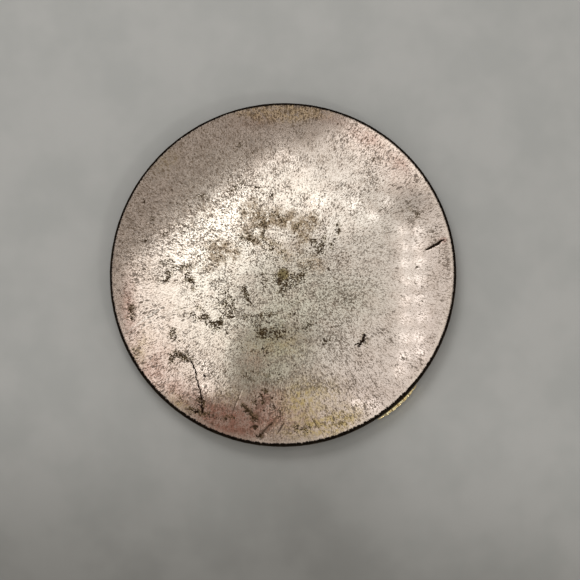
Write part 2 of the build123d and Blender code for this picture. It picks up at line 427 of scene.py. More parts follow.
def smooth(x, lo, hi):
    t = np.clip((x - lo) / (hi - lo), 0, 1)
    return t * t * (3 - 2 * t)


def spot(x, y, rx, ry=None, turn=0.0, soft=1.0):
    """Soft ellipse, 1 in the middle, at a place in 580-frame units, radii in the same units."""
    ry = ry or rx
    cx, cy = px(x, y)
    a = math.radians(turn)
    dx, dy = gx - cx, gy - cy
    ex = (dx * math.cos(a) + dy * math.sin(a)) / (rx * PX_MM)
    ey = (-dx * math.sin(a) + dy * math.cos(a)) / (ry * PX_MM)
    return np.exp(-(ex * ex + ey * ey) * 1.2 / soft)


def stroke(field, pts, width, value=1.0, fade=False, wob=0.0, seed=0):
    """A drawn line through points in 580-frame units, width in mm."""
    rng = np.random.default_rng(seed)
    q = [np.array(px(*p)) for p in pts]
    for s, (a, b) in enumerate(zip(q[:-1], q[1:])):
        n = max(2, int(np.linalg.norm(b - a) / 0.08))
        for i in range(n + 1):
            t = i / n
            c = a + (b - a) * t + rng.normal(0, wob, 2)
            g = (s + t) / (len(q) - 1)
            w = width * (0.35 + 0.65 * math.sin(math.pi * min(max(g, 0.04), 0.96)) if fade else 1.0)
            w *= 0.85 + 0.3 * rng.random()
            dab(field, c[0], c[1], w / 2, value)


def dab(field, cx, cy, r, value=1.0):
    """A soft round dab, kept where it is stronger than what is there."""
    k = int(r / CELL * 2.2) + 2
    i, j = int(round((cy + HALF) / CELL)), int(round((cx + HALF) / CELL))
    a, b, c, d = max(i - k, 0), min(i + k + 1, NR), max(j - k, 0), min(j + k + 1, NR)
    if a >= b or c >= d:
        return
    d2 = (gx[a:b, c:d] - cx) ** 2 + (gy[a:b, c:d] - cy) ** 2
    np.maximum(field[a:b, c:d], value * np.exp(-(d2 / (r * r)) ** 1.5), out=field[a:b, c:d])


def sample(field, x, y):
    """Bilinear look-up of a raster."""
    fx = np.clip((x + HALF) / CELL, 0, NR - 1.001)
    fy = np.clip((y + HALF) / CELL, 0, NR - 1.001)
    i, j = fy.astype(int), fx.astype(int)
    a, b = fy - i, fx - j
    return ((field[i, j] * (1 - b) + field[i, j + 1] * b) * (1 - a)
            + (field[i + 1, j] * (1 - b) + field[i + 1, j + 1] * b) * a)


# cuts: the gouge at the right edge, the crack at the lower left and the loose scratches
cut = blank()
stroke(cut, [(426.5, 251.8), (430.5, 250), (435, 247.4), (439.5, 245.2), (441.5, 242.8), (445.3, 241.6)], 0.6, 1.0,
       fade=True, seed=1)
stroke(cut, [(433, 248.3), (438.5, 245.6)], 0.42, 0.9, seed=2)
stroke(cut, [(365, 335.3), (364.2, 338.6), (364.4, 341), (361.9, 343.0), (360.6, 345.6), (359.3, 347.6)], 0.36, 0.95,
       wob=0.07, seed=3)
stroke(cut, [(363.8, 341.5), (366.4, 344.4)], 0.28, 0.85, wob=0.05, seed=4)
stroke(cut, [(364.2, 338), (366.6, 336.8)], 0.24, 0.8, wob=0.04, seed=8)
stroke(cut, [(361, 345.0), (357.6, 344.6), (355.4, 345.8)], 0.24, 0.75, wob=0.05, seed=9)
stroke(cut, [(371.5, 278.5), (367, 283.5)], 0.22, 0.6, fade=True, seed=5)
crack = [(191, 360.5), (193.2, 363), (194.6, 367.5), (196.0, 369), (197.0, 374), (196.7, 377.5), (199.0, 382),
         (199.4, 386.5), (201.2, 390), (201.6, 394.5), (202.9, 398), (202.6, 403), (203.5, 409), (203.1, 413)]
stroke(cut, crack, 0.25, 0.9, wob=0.06, seed=6)
for pts, w in (([(191.5, 408), (195, 411), (199, 410.4), (203, 411.5)], 0.2), ([(195.5, 413.5), (198.5, 409.5)], 0.2),
               ([(199, 403.5), (201.5, 405.5), (203, 409)], 0.24), ([(203, 409), (206, 413.5), (210, 418)], 0.17),
               ([(205, 407.5), (203.5, 411)], 0.17), ([(198, 409.5), (198.5, 413)], 0.18),
               ([(204.5, 374.5), (206.3, 376.8)], 0.36), ([(202, 369), (204.5, 371)], 0.24),
               ([(175, 352.5), (177.5, 354.5), (179, 353.6)], 0.22), ([(183.5, 357), (186, 354.8)], 0.2),
               ([(230, 402.5), (226, 407)], 0.12), ([(213, 416), (218, 420)], 0.14)):
    stroke(cut, pts, w * 1.25, 0.85, fade=True, wob=0.03, seed=int(pts[0][0] * 3))
line = blank()
for pts, w, v in (
        ([(245, 384), (236, 405), (228, 427)], 0.16, 0.8), ([(309, 412), (315, 422), (322, 433)], 0.2, 0.8),
        ([(332, 420), (336, 425), (341, 430)], 0.2, 0.7), ([(272.5, 422), (265, 430), (258, 438)], 0.34, 1.0), ([(250, 427.5), (254, 425.5), (258, 426)], 0.3, 0.9),
        ([(124, 218), (133, 223), (142, 228)], 0.2, 0.6), ([(285, 422), (278, 433)], 0.3, 0.9),
        ([(262, 428), (272, 436)], 0.2, 0.7), ([(384, 152), (391, 160)], 0.13, 0.6),
        ([(387, 151), (394, 160)], 0.13, 0.6), ([(390, 150), (397, 158)], 0.13, 0.5),
        ([(380, 155), (388, 163)], 0.13, 0.5), ([(240, 318), (262, 315)], 0.18, 0.5),
        ([(130, 308), (133, 312)], 0.25, 0.9), ([(133, 313), (136, 316)], 0.25, 0.9),
        ([(130, 317), (134, 320)], 0.25, 0.9), ([(127, 305), (131, 308)], 0.2, 0.7)):
    stroke(line, pts, w * 1.4, min(1.0, v * 1.2), fade=True, seed=int(pts[0][0]))
bright = blank()
for pts, w, v in (
        ([(122, 335), (147, 318), (172, 301)], 0.2, 1.0), ([(126, 338), (150, 322), (163, 313)], 0.15, 0.7),
        ([(118, 326), (134, 315)], 0.15, 0.5), ([(393, 205), (420, 198), (432, 196)], 0.16, 0.5),
        ([(392, 209), (436, 201)], 0.12, 0.4), ([(390, 213), (425, 206)], 0.1, 0.4)):
    stroke(bright, pts, w, v, fade=True, seed=int(pts[0][0]) + 7)

fog_a, fog_b, fog_c = fog(9, 11), fog(4, 12), fog(1.6, 13, 3, 0.6)
fog_d, fog_e = fog(0.7, 14, 3, 0.7), fog(2.6, 15, 4, 0.6)



def vein(field, pts, width, value=1.0, seed=0):
    """A ragged band through points in 580-frame units, width in the same units."""
    rng = np.random.default_rng(seed + 500)
    q = [np.array(px(*p)) for p in pts]
    if len(q) == 1:
        q = q * 2
    w = width * PX_MM
    for a, b in zip(q[:-1], q[1:]):
        n = max(3, int(np.linalg.norm(b - a) / (0.22 * w) * 1.2))
        for i in range(n + 1):
            c = a + (b - a) * (i / n) + rng.normal(0, 0.26 * w, 2)
            dab(field, c[0], c[1], w * (0.28 + 0.42 * rng.random()), value * (0.6 + 0.4 * rng.random()))


def soften(f, k):
    """Blur by k cells to each side, twice."""
    for _ in range(2):
        for ax in (0, 1):
            c = np.cumsum(np.pad(f, [(k + 1, k) if i == ax else (0, 0) for i in (0, 1)], mode="edge"), axis=ax)
            n = c.shape[ax]
            f = (np.take(c, np.arange(2 * k + 1, n), ax) - np.take(c, np.arange(0, n - 2 * k - 1), ax)) / (2 * k + 1)
    return f


# brown film across the upper middle, and its thin run to the left
brown = blank()
for i, (pts, w, v) in enumerate((
        ([(272, 214), (280, 218), (288, 221)], 9, 0.95), ([(288, 221), (297, 224), (306, 227)], 14, 0.85),
        ([(306, 226), (315, 224)], 10, 0.6), ([(300, 232), (307, 237)], 7, 0.5),
        ([(256, 216), (262, 222), (268, 224)], 9, 0.75), ([(240, 212), (247, 210), (253, 206)], 8, 0.55),
        ([(240, 219), (249, 214), (262, 212), (274, 212)], 9, 0.4), ([(262, 224), (263, 230)], 6, 0.8),
        ([(241, 236), (246, 231), (255, 226)], 6, 0.55), ([(250, 240), (258, 243), (264, 240)], 6, 0.7),
        ([(264, 240), (265, 232), (264, 228)], 5, 0.55), ([(264, 240), (269, 246), (274, 250)], 5, 0.6),
        ([(212, 251), (218, 256), (225, 260)], 7, 0.6), ([(223, 259), (232, 259), (238, 254), (236, 249)], 6, 0.5),
        ([(209, 240), (210, 248)], 6, 0.45), ([(219, 238), (224, 247)], 6, 0.45), ([(205, 263), (207, 270)], 7, 0.5),
        ([(199, 207), (207, 210), (212, 214)], 9, 0.4), ([(192, 222), (195, 227)], 5, 0.4),
        ([(278, 252), (290, 256), (302, 262), (314, 266)], 12, 0.5), ([(300, 268), (308, 268)], 8, 0.6),
        ([(320, 258), (323, 266), (324, 275)], 5, 0.4), ([(292, 258), (298, 250)], 9, 0.35),
        ([(188, 266), (194, 270)], 5, 0.6), ([(255, 358), (258, 368)], 16, 0.35), ([(336, 408), (344, 400)], 10, 0.2))):
    vein(brown, pts, w * 1.25, v, i)
vein(brown, [(210, 252), (220, 247), (234, 251), (240, 256)], 12, 0.6, 77)
brown = np.clip(1.3 * soften(brown, 5) * (0.75 + 0.4 * fog_c) + 0.95 * spot(284, 111, 60, 13) + 0.12 * spot(180, 170, 50, 22, 40), 0, 1)

# olive and brown crusts
olive = blank()
for i, (pts, w, v) in enumerate((
        ([(166, 258), (171, 262), (168, 268), (170, 274), (167, 279), (163, 283)], 6, 0.75),
        ([(163, 263), (174, 268), (181, 266)], 5, 0.5), ([(181, 267), (188, 268), (194, 270)], 5, 0.6),
        ([(184, 275), (190, 280), (194, 283), (197, 287)], 7, 0.75), ([(194, 274), (195, 279)], 5, 0.5),
        ([(245, 234), (241, 238)], 4, 0.7), ([(244, 240), (254, 242), (264, 241), (268, 246), (274, 250)], 4, 0.7),
        ([(264, 240), (265, 230)], 3.5, 0.6), ([(258, 220), (262, 225), (262, 230)], 6, 0.7),
        ([(276, 217), (284, 220)], 7, 0.6), ([(296, 226), (308, 228)], 12, 0.3),
        ([(313, 240), (316, 248)], 4, 0.8), ([(320, 252), (323, 246), (325, 241)], 4.5, 0.85),
        ([(318, 250), (323, 254)], 5, 0.85), ([(332, 247), (335, 240), (338, 233), (339, 226)], 4, 0.6),
        ([(252, 251), (254, 262)], 5, 0.45), ([(262, 270), (264, 279), (264, 286)], 6, 0.45),
        ([(270, 250), (275, 257), (280, 262)], 9, 0.42), ([(262, 247), (285, 250)], 8, 0.35),
        ([(289, 281), (296, 278), (302, 277), (305, 281)], 6, 0.9), ([(292, 284), (298, 284)], 5, 0.8),
        ([(288, 284), (285, 290), (279, 294)], 5, 0.9), ([(280, 284), (283, 281)], 4, 0.8),
        ([(284, 296), (286, 301)], 5, 0.5), ([(275, 278), (272, 282)], 5, 0.45), ([(302, 262), (310, 268)], 7, 0.4),
        ([(303, 272), (309, 268)], 5, 0.7), ([(244, 289), (247, 294), (249, 300), (250, 305)], 4, 0.85),
        ([(221, 292), (228, 297), (233, 298)], 5, 0.5), ([(219, 300), (222, 306)], 5, 0.4),
        ([(227, 303), (234, 306), (239, 308)], 5.5, 0.9), ([(222, 309), (221, 316)], 5, 0.6),
        ([(234, 310), (230, 317), (227, 314)], 6, 0.75), ([(192, 315), (198, 318), (204, 317), (207, 315)], 6, 0.85),
        ([(199, 309), (202, 322)], 5, 0.5), ([(209, 322), (215, 324), (218, 326), (223, 320)], 6.5, 0.9),
        ([(205, 326), (212, 320)], 6, 0.4), ([(176, 312), (184, 318)], 7, 0.3),
        ([(244, 318), (253, 317), (263, 316), (276, 315), (279, 312)], 4, 0.7),
        ([(256, 320), (266, 322), (278, 322)], 10, 0.5), ([(258, 328), (270, 327)], 8, 0.5),
        ([(261, 331), (269, 334), (277, 336), (284, 334)], 8, 0.8), ([(286, 337), (293, 338)], 5, 0.5),
        ([(290, 330), (297, 333)], 6, 0.5), ([(290, 316), (296, 312)], 4, 0.6), ([(292, 304), (299, 306)], 6, 0.45),
        ([(304, 330), (307, 329)], 4, 0.8), ([(310, 327), (312, 325)], 4, 0.7),
        ([(171, 335), (175, 331), (176, 337), (180, 342)], 5.5, 0.75), ([(171, 340), (176, 339)], 4, 0.6),
        ([(173, 359), (177, 355), (181, 356)], 6.5, 1.0), ([(183, 357), (187, 358), (191, 361)], 4.5, 0.9),
        ([(200, 399), (204, 402)], 5, 0.95), ([(250, 413), (257, 419)], 5, 0.9), ([(265, 389), (268, 393)], 4, 0.7), ([(324, 343), (328, 341)], 4, 0.8),
        ([(243, 404), (247, 409), (251, 416)], 4.5, 0.85), ([(254, 398), (256, 404)], 3.5, 0.8),
        ([(261, 394), (263, 402)], 4, 0.7), ([(272, 406), (276, 409)], 3.5, 0.7), ([(280, 410), (282, 414)], 4.5, 0.8),
        ([(255, 417), (258, 419)], 4, 0.9), ([(262, 434), (259, 438)], 5, 0.8), ([(300, 429), (307, 428)], 7, 0.55),
        ([(190, 408), (199, 411), (204, 411)], 5.5, 0.95), ([(204, 409), (212, 415)], 4, 0.6), ([(180, 398), (186, 394)], 4, 0.4),
        ([(257, 188), (262, 192)], 5, 0.5), ([(268, 194), (273, 196), (274, 191)], 3.5, 0.55),
        ([(165, 233), (168, 231)], 4, 0.6), ([(176, 226), (186, 227)], 5, 0.45), ([(150, 222), (153, 217)], 4, 0.5),
        ([(130, 306), (132, 311), (131, 319)], 4.5, 0.7), ([(134, 348), (137, 353)], 5, 0.5),
        ([(231, 185), (246, 186)], 8, 0.35), ([(200, 196), (208, 200)], 6, 0.4), ([(240, 350), (262, 352)], 12, 0.3),
        ([(246, 374), (266, 378), (280, 376)], 9, 0.36), ([(360, 338), (365, 342)], 7, 0.6),
        ([(408, 204), (416, 214)], 8, 0.3), ([(225, 420), (230, 416)], 5, 0.6), ([(244, 144), (238, 150)], 5, 0.35))):
    vein(olive, pts, w, v, i)
olive = np.clip(1.1 * soften(olive, 1) * (0.75 + 0.45 * fog_c), 0, 1)
cx, cy = px(284.0, 275.5)
disc_mark = np.exp(-(((gx - cx) ** 2 / 1.3 + (gy - cy) ** 2 / 1.55) / 1.15 ** 2) ** 3)
olive = np.maximum(olive, 0.55 * disc_mark * (0.65 + 0.5 * fog_d))
brown = np.maximum(brown, 0.8 * disc_mark)
disc_mark = np.clip(disc_mark * (0.75 + 0.5 * fog_d), 0, 1)

# tints: red-brown along the lower left edge, yellow at the bottom, pink at the edges
edge = smooth(gr, 29.0, 37.0)
red = (1.15 * spot(222, 420, 36, 20, -24) + 0.8 * spot(262, 418, 32, 20) + 0.6 * spot(270, 396, 20, 12)
       + 0.5 * spot(150, 372, 22, 34, -35) + 0.45 * spot(367, 137, 20, 10, -30) + 0.34 * spot(402, 164, 14, 9, -45)
       + 0.3 * spot(262, 118, 30, 9, 8) + 0.45 * spot(258, 361, 14, 10) + 0.3 * spot(330, 118, 20, 7, -15)
       + 0.16 * spot(400, 180, 26, 14, -40) + 0.8 * spot(444.5, 242, 4, 3) + 0.4 * spot(180, 392, 20, 14, -30) + 0.3 * spot(132, 330, 10, 30, 12)
       + 0.4 * spot(128, 300, 8, 26) + 0.25 * spot(300, 420, 30, 14))
red = np.clip(red * (0.75 + 0.5 * fog_e), 0, 1)
yellow = (1.1 * spot(303, 400, 20, 18) + 1.1 * spot(316, 428, 34, 12, 4) + 0.8 * spot(345, 418, 20, 10, 25)
          + 0.35 * spot(287, 345, 20, 14) + 0.3 * spot(290, 118, 14, 6) + 0.35 * spot(166, 160, 14, 10, 45)
          + 0.4 * spot(330, 395, 20, 18) + 0.5 * spot(180, 404, 16, 8, -35) + 0.35 * spot(140, 352, 8, 20, -25)
          + 0.2 * spot(265, 345, 26, 14) + 0.3 * spot(230, 396, 20, 10))
yellow = np.clip(yellow * (0.65 + 0.7 * fog_b), 0, 1)
warm = np.clip(0.25 + 0.75 * smooth(gr, 16, 37) * (0.6 + 0.8 * fog_a)
               + 0.10 * spot(380, 350, 60, 60) - 0.25 * spot(390, 210, 50, 50) + 0.5 * spot(290, 425, 80, 26)
               - 0.55 * spot(265, 320, 50, 60) - 0.2 * spot(200, 250, 60, 50), 0, 1)
# painted reflection: a darker greenish grey over the lower middle, standing in for a dark shape mirrored in the plate
green = np.clip(1.0 * spot(272, 350, 34, 44) + 0.5 * spot(300, 300, 40, 40) + 0.35 * spot(240, 376, 20, 20)
                + 0.5 * spot(350, 300, 40, 24) + 0.2 * spot(262, 385, 34, 16), 0, 1)

# how thickly the fine dark specks lie
speck = (0.42 + 0.45 * spot(170, 180, 60, 50, 40) + 0.35 * smooth(fog_b, 0.4, 0.65) + 0.45 * spot(200, 190, 60, 45, 35) + 0.25 * spot(250, 140, 60, 25)
         + 0.3 * spot(130, 260, 30, 50) + 0.3 * spot(270, 380, 60, 30) + 0.35 * spot(280, 300, 60, 50)
         + 0.3 * spot(320, 320, 60, 60) - 0.25 * spot(310, 175, 40, 30) - 0.3 * spot(170, 300, 30, 24)
         - 0.6 * spot(408, 305, 30, 90) - 0.25 * spot(350, 222, 34, 18) + 0.3 * spot(410, 212, 18, 14) + 0.6 * spot(270, 233, 18, 9)
         + 0.25 * spot(262, 365, 50, 26) + 0.35 * spot(228, 418, 50, 22))
speck = np.clip(speck, 0, 1)

# single dark pits
pit = blank()
# painted shade: marks where the plate's colour is darkened at the top and upper right, standing in for dimmer mirrored
# light there
painted_shade_dim = np.clip(1.1 * spot(280, 111, 64, 15) + 1.0 * spot(411, 202, 26, 18) + 0.25 * spot(404, 245, 16, 26) + 0.4 * spot(404, 172, 16, 12, -40)
              + 0.28 * spot(160, 150, 30, 16, 40) + 0.3 * spot(266, 148, 20, 16), 0, 1) * (0.75 + 0.4 * fog_e)
for q, r in (((172, 190), 0.34), ((144, 200), 0.36), ((146, 242), 0.4), ((329, 183), 0.22), ((321, 252), 0.42),
             ((329, 272), 0.4), ((327, 247), 0.3), ((248, 410), 0.5), ((257, 418), 0.45), ((256, 426), 0.5),
             ((260, 436), 0.5), ((259, 397), 0.35), ((311, 326), 0.32), ((307, 330), 0.3), ((325, 341), 0.36),
             ((324, 346), 0.22), ((417, 269), 0.3), ((131, 311), 0.3), ((132, 319), 0.3), ((283, 310), 0.25),
             ((240, 143), 0.2), ((262, 157), 0.22), ((241, 389), 0.22), ((222, 392), 0.22), ((245, 292), 0.36),
             ((248, 300), 0.34), ((211, 428), 0.3), ((223, 436), 0.3), ((273, 398), 0.32), ((352, 393), 0.2),
             ((278, 281), 0.4), ((290, 289), 0.34), ((302, 279), 0.36), ((297, 285), 0.34), ((283, 297), 0.25),
             ((316, 128), 0.2), ((377, 147), 0.22), ((269, 366), 0.22), ((282, 399), 0.3), ((265, 411), 0.3)):
    x, y = px(*q)
    for _ in range(3):
        dab(pit, x + RNG.normal(0, r * 0.5), y + RNG.normal(0, r * 0.5), r * (0.5 + 0.4 * RNG.random()), 0.95)
def chain(pts, r=1.3, v=0.9, seed=0):
    """A broken run of small dark grains through points in 580-frame units, r in the same units."""
    rng = np.random.default_rng(seed + 900)
    q = [np.array(px(*p)) for p in pts]
    if len(q) == 1:
        q = q * 2
    r *= PX_MM
    for a, b in zip(q[:-1], q[1:]):
        n = max(1, int(np.linalg.norm(b - a) / (0.75 * r)))
        for i in range(n + 1):
            if rng.random() < 0.12:
                continue
            c = a + (b - a) * (i / n) + rng.normal(0, 0.32 * r, 2)
            dab(pit, c[0], c[1], r * (0.55 + 0.55 * rng.random()), v * (0.75 + 0.25 * rng.random()))


for i, (r, pts) in enumerate((
        (1.2, [(163, 233), (165, 234)]), (1.1, [(166, 232), (168, 231)]), (1.0, [(176, 227), (180, 228), (183, 226), (186, 227)]),
        (1.1, [(152, 219), (153, 217)]), (1.0, [(168, 198), (170, 203)]), (1.0, [(176, 200), (177, 206)]),
        (1.0, [(186, 200), (190, 207), (191, 212)]), (0.9, [(181, 209), (182, 213)]), (1.0, [(200, 196), (204, 198)]),
        (1.0, [(225, 196), (229, 198), (232, 200)]), (1.0, [(240, 214), (245, 212), (247, 213)]),
        (1.0, [(239, 238), (241, 237), (243, 240)]), (1.2, [(262, 226), (264, 228), (268, 227)]),
        (1.0, [(251, 229), (256, 228), (258, 227)]), (1.0, [(264, 230), (264, 233), (263, 236), (266, 240)]),
        (1.0, [(250, 240), (254, 242), (258, 243), (262, 242), (267, 243)]),
        (1.1, [(266, 244), (269, 246), (272, 248), (275, 250)]), (1.0, [(276, 215), (280, 219), (283, 222), (281, 224)]),
        (1.0, [(284, 217), (287, 219)]), (1.2, [(314, 240), (316, 242), (319, 246)]), (1.1, [(312, 246), (315, 249)]),
        (1.4, [(322, 240), (322, 244), (324, 248), (322, 252), (320, 254), (318, 252)]), (1.0, [(321, 222), (321, 227)]),
        (1.1, [(253, 251), (255, 253)]), (1.0, [(264, 255), (267, 255)]), (1.0, [(250, 265), (252, 263), (254, 262)]),
        (1.3, [(274, 257), (275, 259)]), (1.1, [(278, 262)]), (1.0, [(282, 254), (286, 255)]), (1.0, [(296, 255), (299, 257)]),
        (1.1, [(303, 268), (306, 267), (309, 269)]), (1.1, [(279, 270), (283, 269), (288, 269), (289, 273)]),
        (1.3, [(281, 278), (283, 280), (280, 282), (282, 284)]), (1.1, [(277, 278), (279, 281)]),
        (1.2, [(288, 281), (287, 284), (284, 288), (289, 287)]), (1.3, [(290, 288), (293, 286), (296, 284), (298, 282)]),
        (1.4, [(292, 278), (295, 277), (299, 276), (301, 278), (304, 277)]), (1.1, [(296, 281)]), (1.1, [(305, 281)]),
        (1.5, [(279, 294), (280, 293)]), (1.0, [(271, 294)]), (1.0, [(283, 296), (286, 297)]),
        (1.1, [(261, 274), (263, 277), (265, 279)]), (1.0, [(270, 277), (272, 276)]), (1.1, [(262, 283), (264, 286)]),
        (1.5, [(244, 290), (246, 290), (247, 293)]), (1.3, [(248, 297), (250, 299), (250, 302)]), (1.1, [(248, 305), (250, 306)]),
        (1.1, [(252, 303), (254, 306)]), (1.0, [(225, 291), (227, 293)]), (1.2, [(232, 298)]), (1.1, [(218, 299), (220, 302)]),
        (1.5, [(228, 303), (231, 306), (234, 306), (238, 306)]), (1.4, [(221, 310), (223, 313), (226, 316)]),
        (1.6, [(231, 313), (233, 315), (230, 318), (234, 318)]), (1.2, [(192, 317), (195, 315), (197, 318)]),
        (1.4, [(200, 317), (203, 317), (206, 315)]), (1.0, [(199, 320), (202, 322)]), (1.0, [(205, 323), (208, 322)]),
        (1.6, [(211, 323), (214, 325), (216, 326), (219, 324), (221, 321)]), (1.2, [(222, 324), (224, 327)]),
        (1.1, [(226, 332), (228, 334)]), (1.1, [(244, 319), (250, 318), (260, 317), (270, 316), (277, 316)]),
        (1.0, [(270, 313), (272, 311)]), (1.1, [(255, 323), (258, 326), (262, 326)]),
        (1.2, [(266, 321), (270, 325), (273, 322), (276, 326)]), (1.5, [(262, 331), (266, 331), (270, 333), (276, 332)]),
        (1.3, [(259, 333), (264, 335), (269, 337), (273, 338)]), (1.7, [(283, 332), (286, 333)]),
        (1.2, [(278, 336), (282, 338), (286, 337)]), (1.1, [(297, 313), (294, 316), (291, 319)]),
        (1.5, [(304, 330), (307, 330)]), (1.5, [(308, 327), (311, 326)]), (1.5, [(324, 342), (327, 341)]), (1.2, [(325, 345)]),
        (1.6, [(329, 270), (330, 272)]), (1.4, [(173, 330), (175, 332), (174, 335)]), (1.6, [(177, 336), (175, 338), (172, 338)]),
        (1.5, [(178, 340), (180, 341)]), (1.2, [(167, 257), (173, 256)]), (1.1, [(166, 268), (169, 270)]),
        (1.3, [(166, 275), (168, 278), (170, 277)]), (1.2, [(163, 282), (168, 280)]), (1.1, [(176, 268), (180, 266), (184, 268)]),
        (1.1, [(190, 266), (194, 269)]), (1.3, [(186, 278), (188, 281), (191, 283), (193, 282)]), (1.2, [(196, 286), (198, 287)]),
        (1.2, [(204, 273), (206, 273)]), (1.1, [(221, 256), (223, 259), (225, 260)]), (1.0, [(213, 253), (216, 256)]),
        (1.0, [(235, 250), (236, 254)]), (1.3, [(332, 247), (335, 241)]), (1.1, [(338, 233), (339, 227)]),
        (1.2, [(256, 397), (256.5, 403), (257, 409)]), (1.3, [(262, 394), (264, 402)]), (1.9, [(256, 418.5)]), (1.5, [(250, 413), (253, 416), (257, 419)]), (1.5, [(261, 393), (263, 398), (264.5, 402)]),
        (1.4, [(243.6, 405), (247, 408), (251.8, 412)]), (1.4, [(257, 433), (258, 437)]), (1.4, [(273.4, 404), (277, 407.8)]),
        (1.4, [(266, 388), (268, 391)]), (1.3, [(208.4, 413), (213, 415), (217.5, 417)]), (1.3, [(226.5, 417), (228, 421)]),
        (1.3, [(253, 427), (256, 425)]), (1.2, [(269.6, 424.8), (273, 422)]), (1.4, [(282, 413)]), (1.1, [(278.5, 417)]),
        (1.3, [(258, 436), (264, 433)]), (1.4, [(242.5, 404), (249, 410), (252, 417)]), (1.1, [(300, 429), (307, 428)]),
        (1.1, [(174, 359), (179.4, 353.6), (184.8, 356.3), (189.3, 359)]), (1.3, [(173, 357), (176, 355)]), (1.0, [(199.3, 384), (201.2, 391), (202.4, 397)]), (2.3, [(202.5, 399.5), (203, 402)]),
        (1.2, [(203, 405), (203.3, 412)]), (1.2, [(363.5, 341.5), (361.5, 344)]),
        (1.0, [(166, 352), (168, 350)]), (1.2, [(161, 392), (165, 395), (168.6, 398.6)]), (1.0, [(128, 306), (131, 311), (132, 318)]))):
    chain(pts, r, 0.9, i)
# scattered pits, thicker where the specks are
n = 0
while n < 1500:
    a, q = RNG.uniform(0, 2 * math.pi), 37.0 * math.sqrt(RNG.random())
    x, y = q * math.cos(a), q * math.sin(a)
    if RNG.random() < float(sample(speck, np.array([x]), np.array([y]))[0]) ** 1.6:
        r = 0.07 + 0.12 * RNG.random() ** 3
        dab(pit, x, y, r, 0.5 + 0.4 * RNG.random())
        if RNG.random() < 0.35:
            dab(pit, x + RNG.normal(0, 0.2), y + RNG.normal(0, 0.2), r * 0.8, 0.6)
        n += 1

# shape: only cut in, never built up
X, Y = V[:, 0], V[:, 1]
on_top = np.arange(len(V)) < len(top)
R = np.hypot(X, Y)
depth = ((0.006 + 0.04 * smooth(X, 30.0, 31.5)) * sample(cut, X, Y) + 0.004 * sample(pit, X, Y) + 0.012 * sample(line, X, Y)
         + 0.006 * sample(bright, X, Y) + 0.006 * sample(olive * fog_d, X, Y)
         + 0.008 * sample(fog_b, X, Y))
V[:, 2] -= np.where(on_top, depth * smooth(R_FLAT + 0.3 - R, 0.0, 0.5), 0)
# small dents in the rounded edge
a = np.arctan2(Y, X)
dent = 0.012 * (np.sin(a * 37) * np.sin(a * 11 + 1) + np.sin(a * 83 + 2) * 0.5) + 0.014
rim_part = (~on_top) & (R > R_FLAT + 0.05) & (V[:, 2] > Z_SEAT + 0.01)
f = np.where(rim_part, 1 - dent / np.maximum(R, 1), 1.0)
V[:, 0] *= f
V[:, 1] *= f
plate = new_mesh("back_plate_worn", V, faces)
me = plate.data
X, Y = V[:, 0], V[:, 1]
for name, field in (("cut", cut), ("line", line), ("bright", bright), ("brown", brown), ("olive", olive),
                    ("red", red), ("yellow", yellow), ("warm", warm), ("green", green), ("speck", speck),
                    ("pit", pit), ("painted_shade_dim", painted_shade_dim), ("disc", disc_mark)):
    at = me.attributes.new(name, "FLOAT", "POINT")
    at.data.foreach_set("value", np.where(V[:, 2] > Z_SEAT + 0.2, sample(field, X, Y), 0).astype(np.float32))

m = Nodes("silver_plate_worn_painted_light")
p = m.pos()
sx, sy, sz = m.sep(p)
rad = m.math("SQRT", m.add(m.mul(sx, sx), m.mul(sy, sy)))
safe = m.math("MAXIMUM", rad, 0.4)
ux, uy = m.math("DIVIDE", sx, safe), m.math("DIVIDE", sy, safe)


def rays(k, along, seed, detail=2.0, rough=0.6):
    """Noise drawn out along the radius: k cells per radian, along cells per mm."""
    v = m.vec(m.mul(ux, k), m.mul(uy, k), m.add(m.mul(rad, along), seed))
    return m.noise(v, 1.0, detail, rough)


A = {n: m.attr(n) for n in ("cut", "line", "bright", "brown", "olive", "red", "yellow", "warm", "green",
                            "speck", "pit", "painted_shade_dim", "disc")}


def dev(noise, sd):
    """A noise as a number of its own standard deviations."""
    return m.mul(m.sub(noise, 0.5), 1.0 / sd)


far = m.step(rad, 15.0, 25.0)
near = m.step(rad, 6.0, 13.0)
patch = dev(m.noise(p, 0.5, 6, 0.82), 0.049)
patch2 = dev(m.noise(m.vec(m.add(sx, 31.0), m.add(sy, 7.0), sz), 0.9, 5, 0.75), 0.056)
grain = dev(m.noise(p, 3.5, 1, 0.5), 0.095)
dash = dev(m.lerp(far, m.lerp(near, m.noise(p, 3.4, 2, 0.6), rays(46, 1.7, 9)), rays(112, 1.35, 17)), 0.072)
hair = dev(m.lerp(far, m.lerp(near, m.noise(p, 4.0, 2, 0.6), rays(62, 2.1, 37)), rays(125, 1.8, 41)), 0.072)
fine = m.noise(p, 4.4, 2, 0.6)
cloud = dev(m.noise(p, 0.25, 4, 0.6), 0.065)

silver = m.mix(A["warm"], (0.95, 0.89, 0.79), (0.93, 0.80, 0.72))
# painted reflection: the green mask turns the silver a darker greenish grey
silver = m.mix(m.mul(A["green"], 0.7), silver, (0.635, 0.645, 0.505))
silver = m.mix(m.step(cloud, -0.6, 1.6, 0, 0.30), silver, (0.78, 0.64, 0.54))
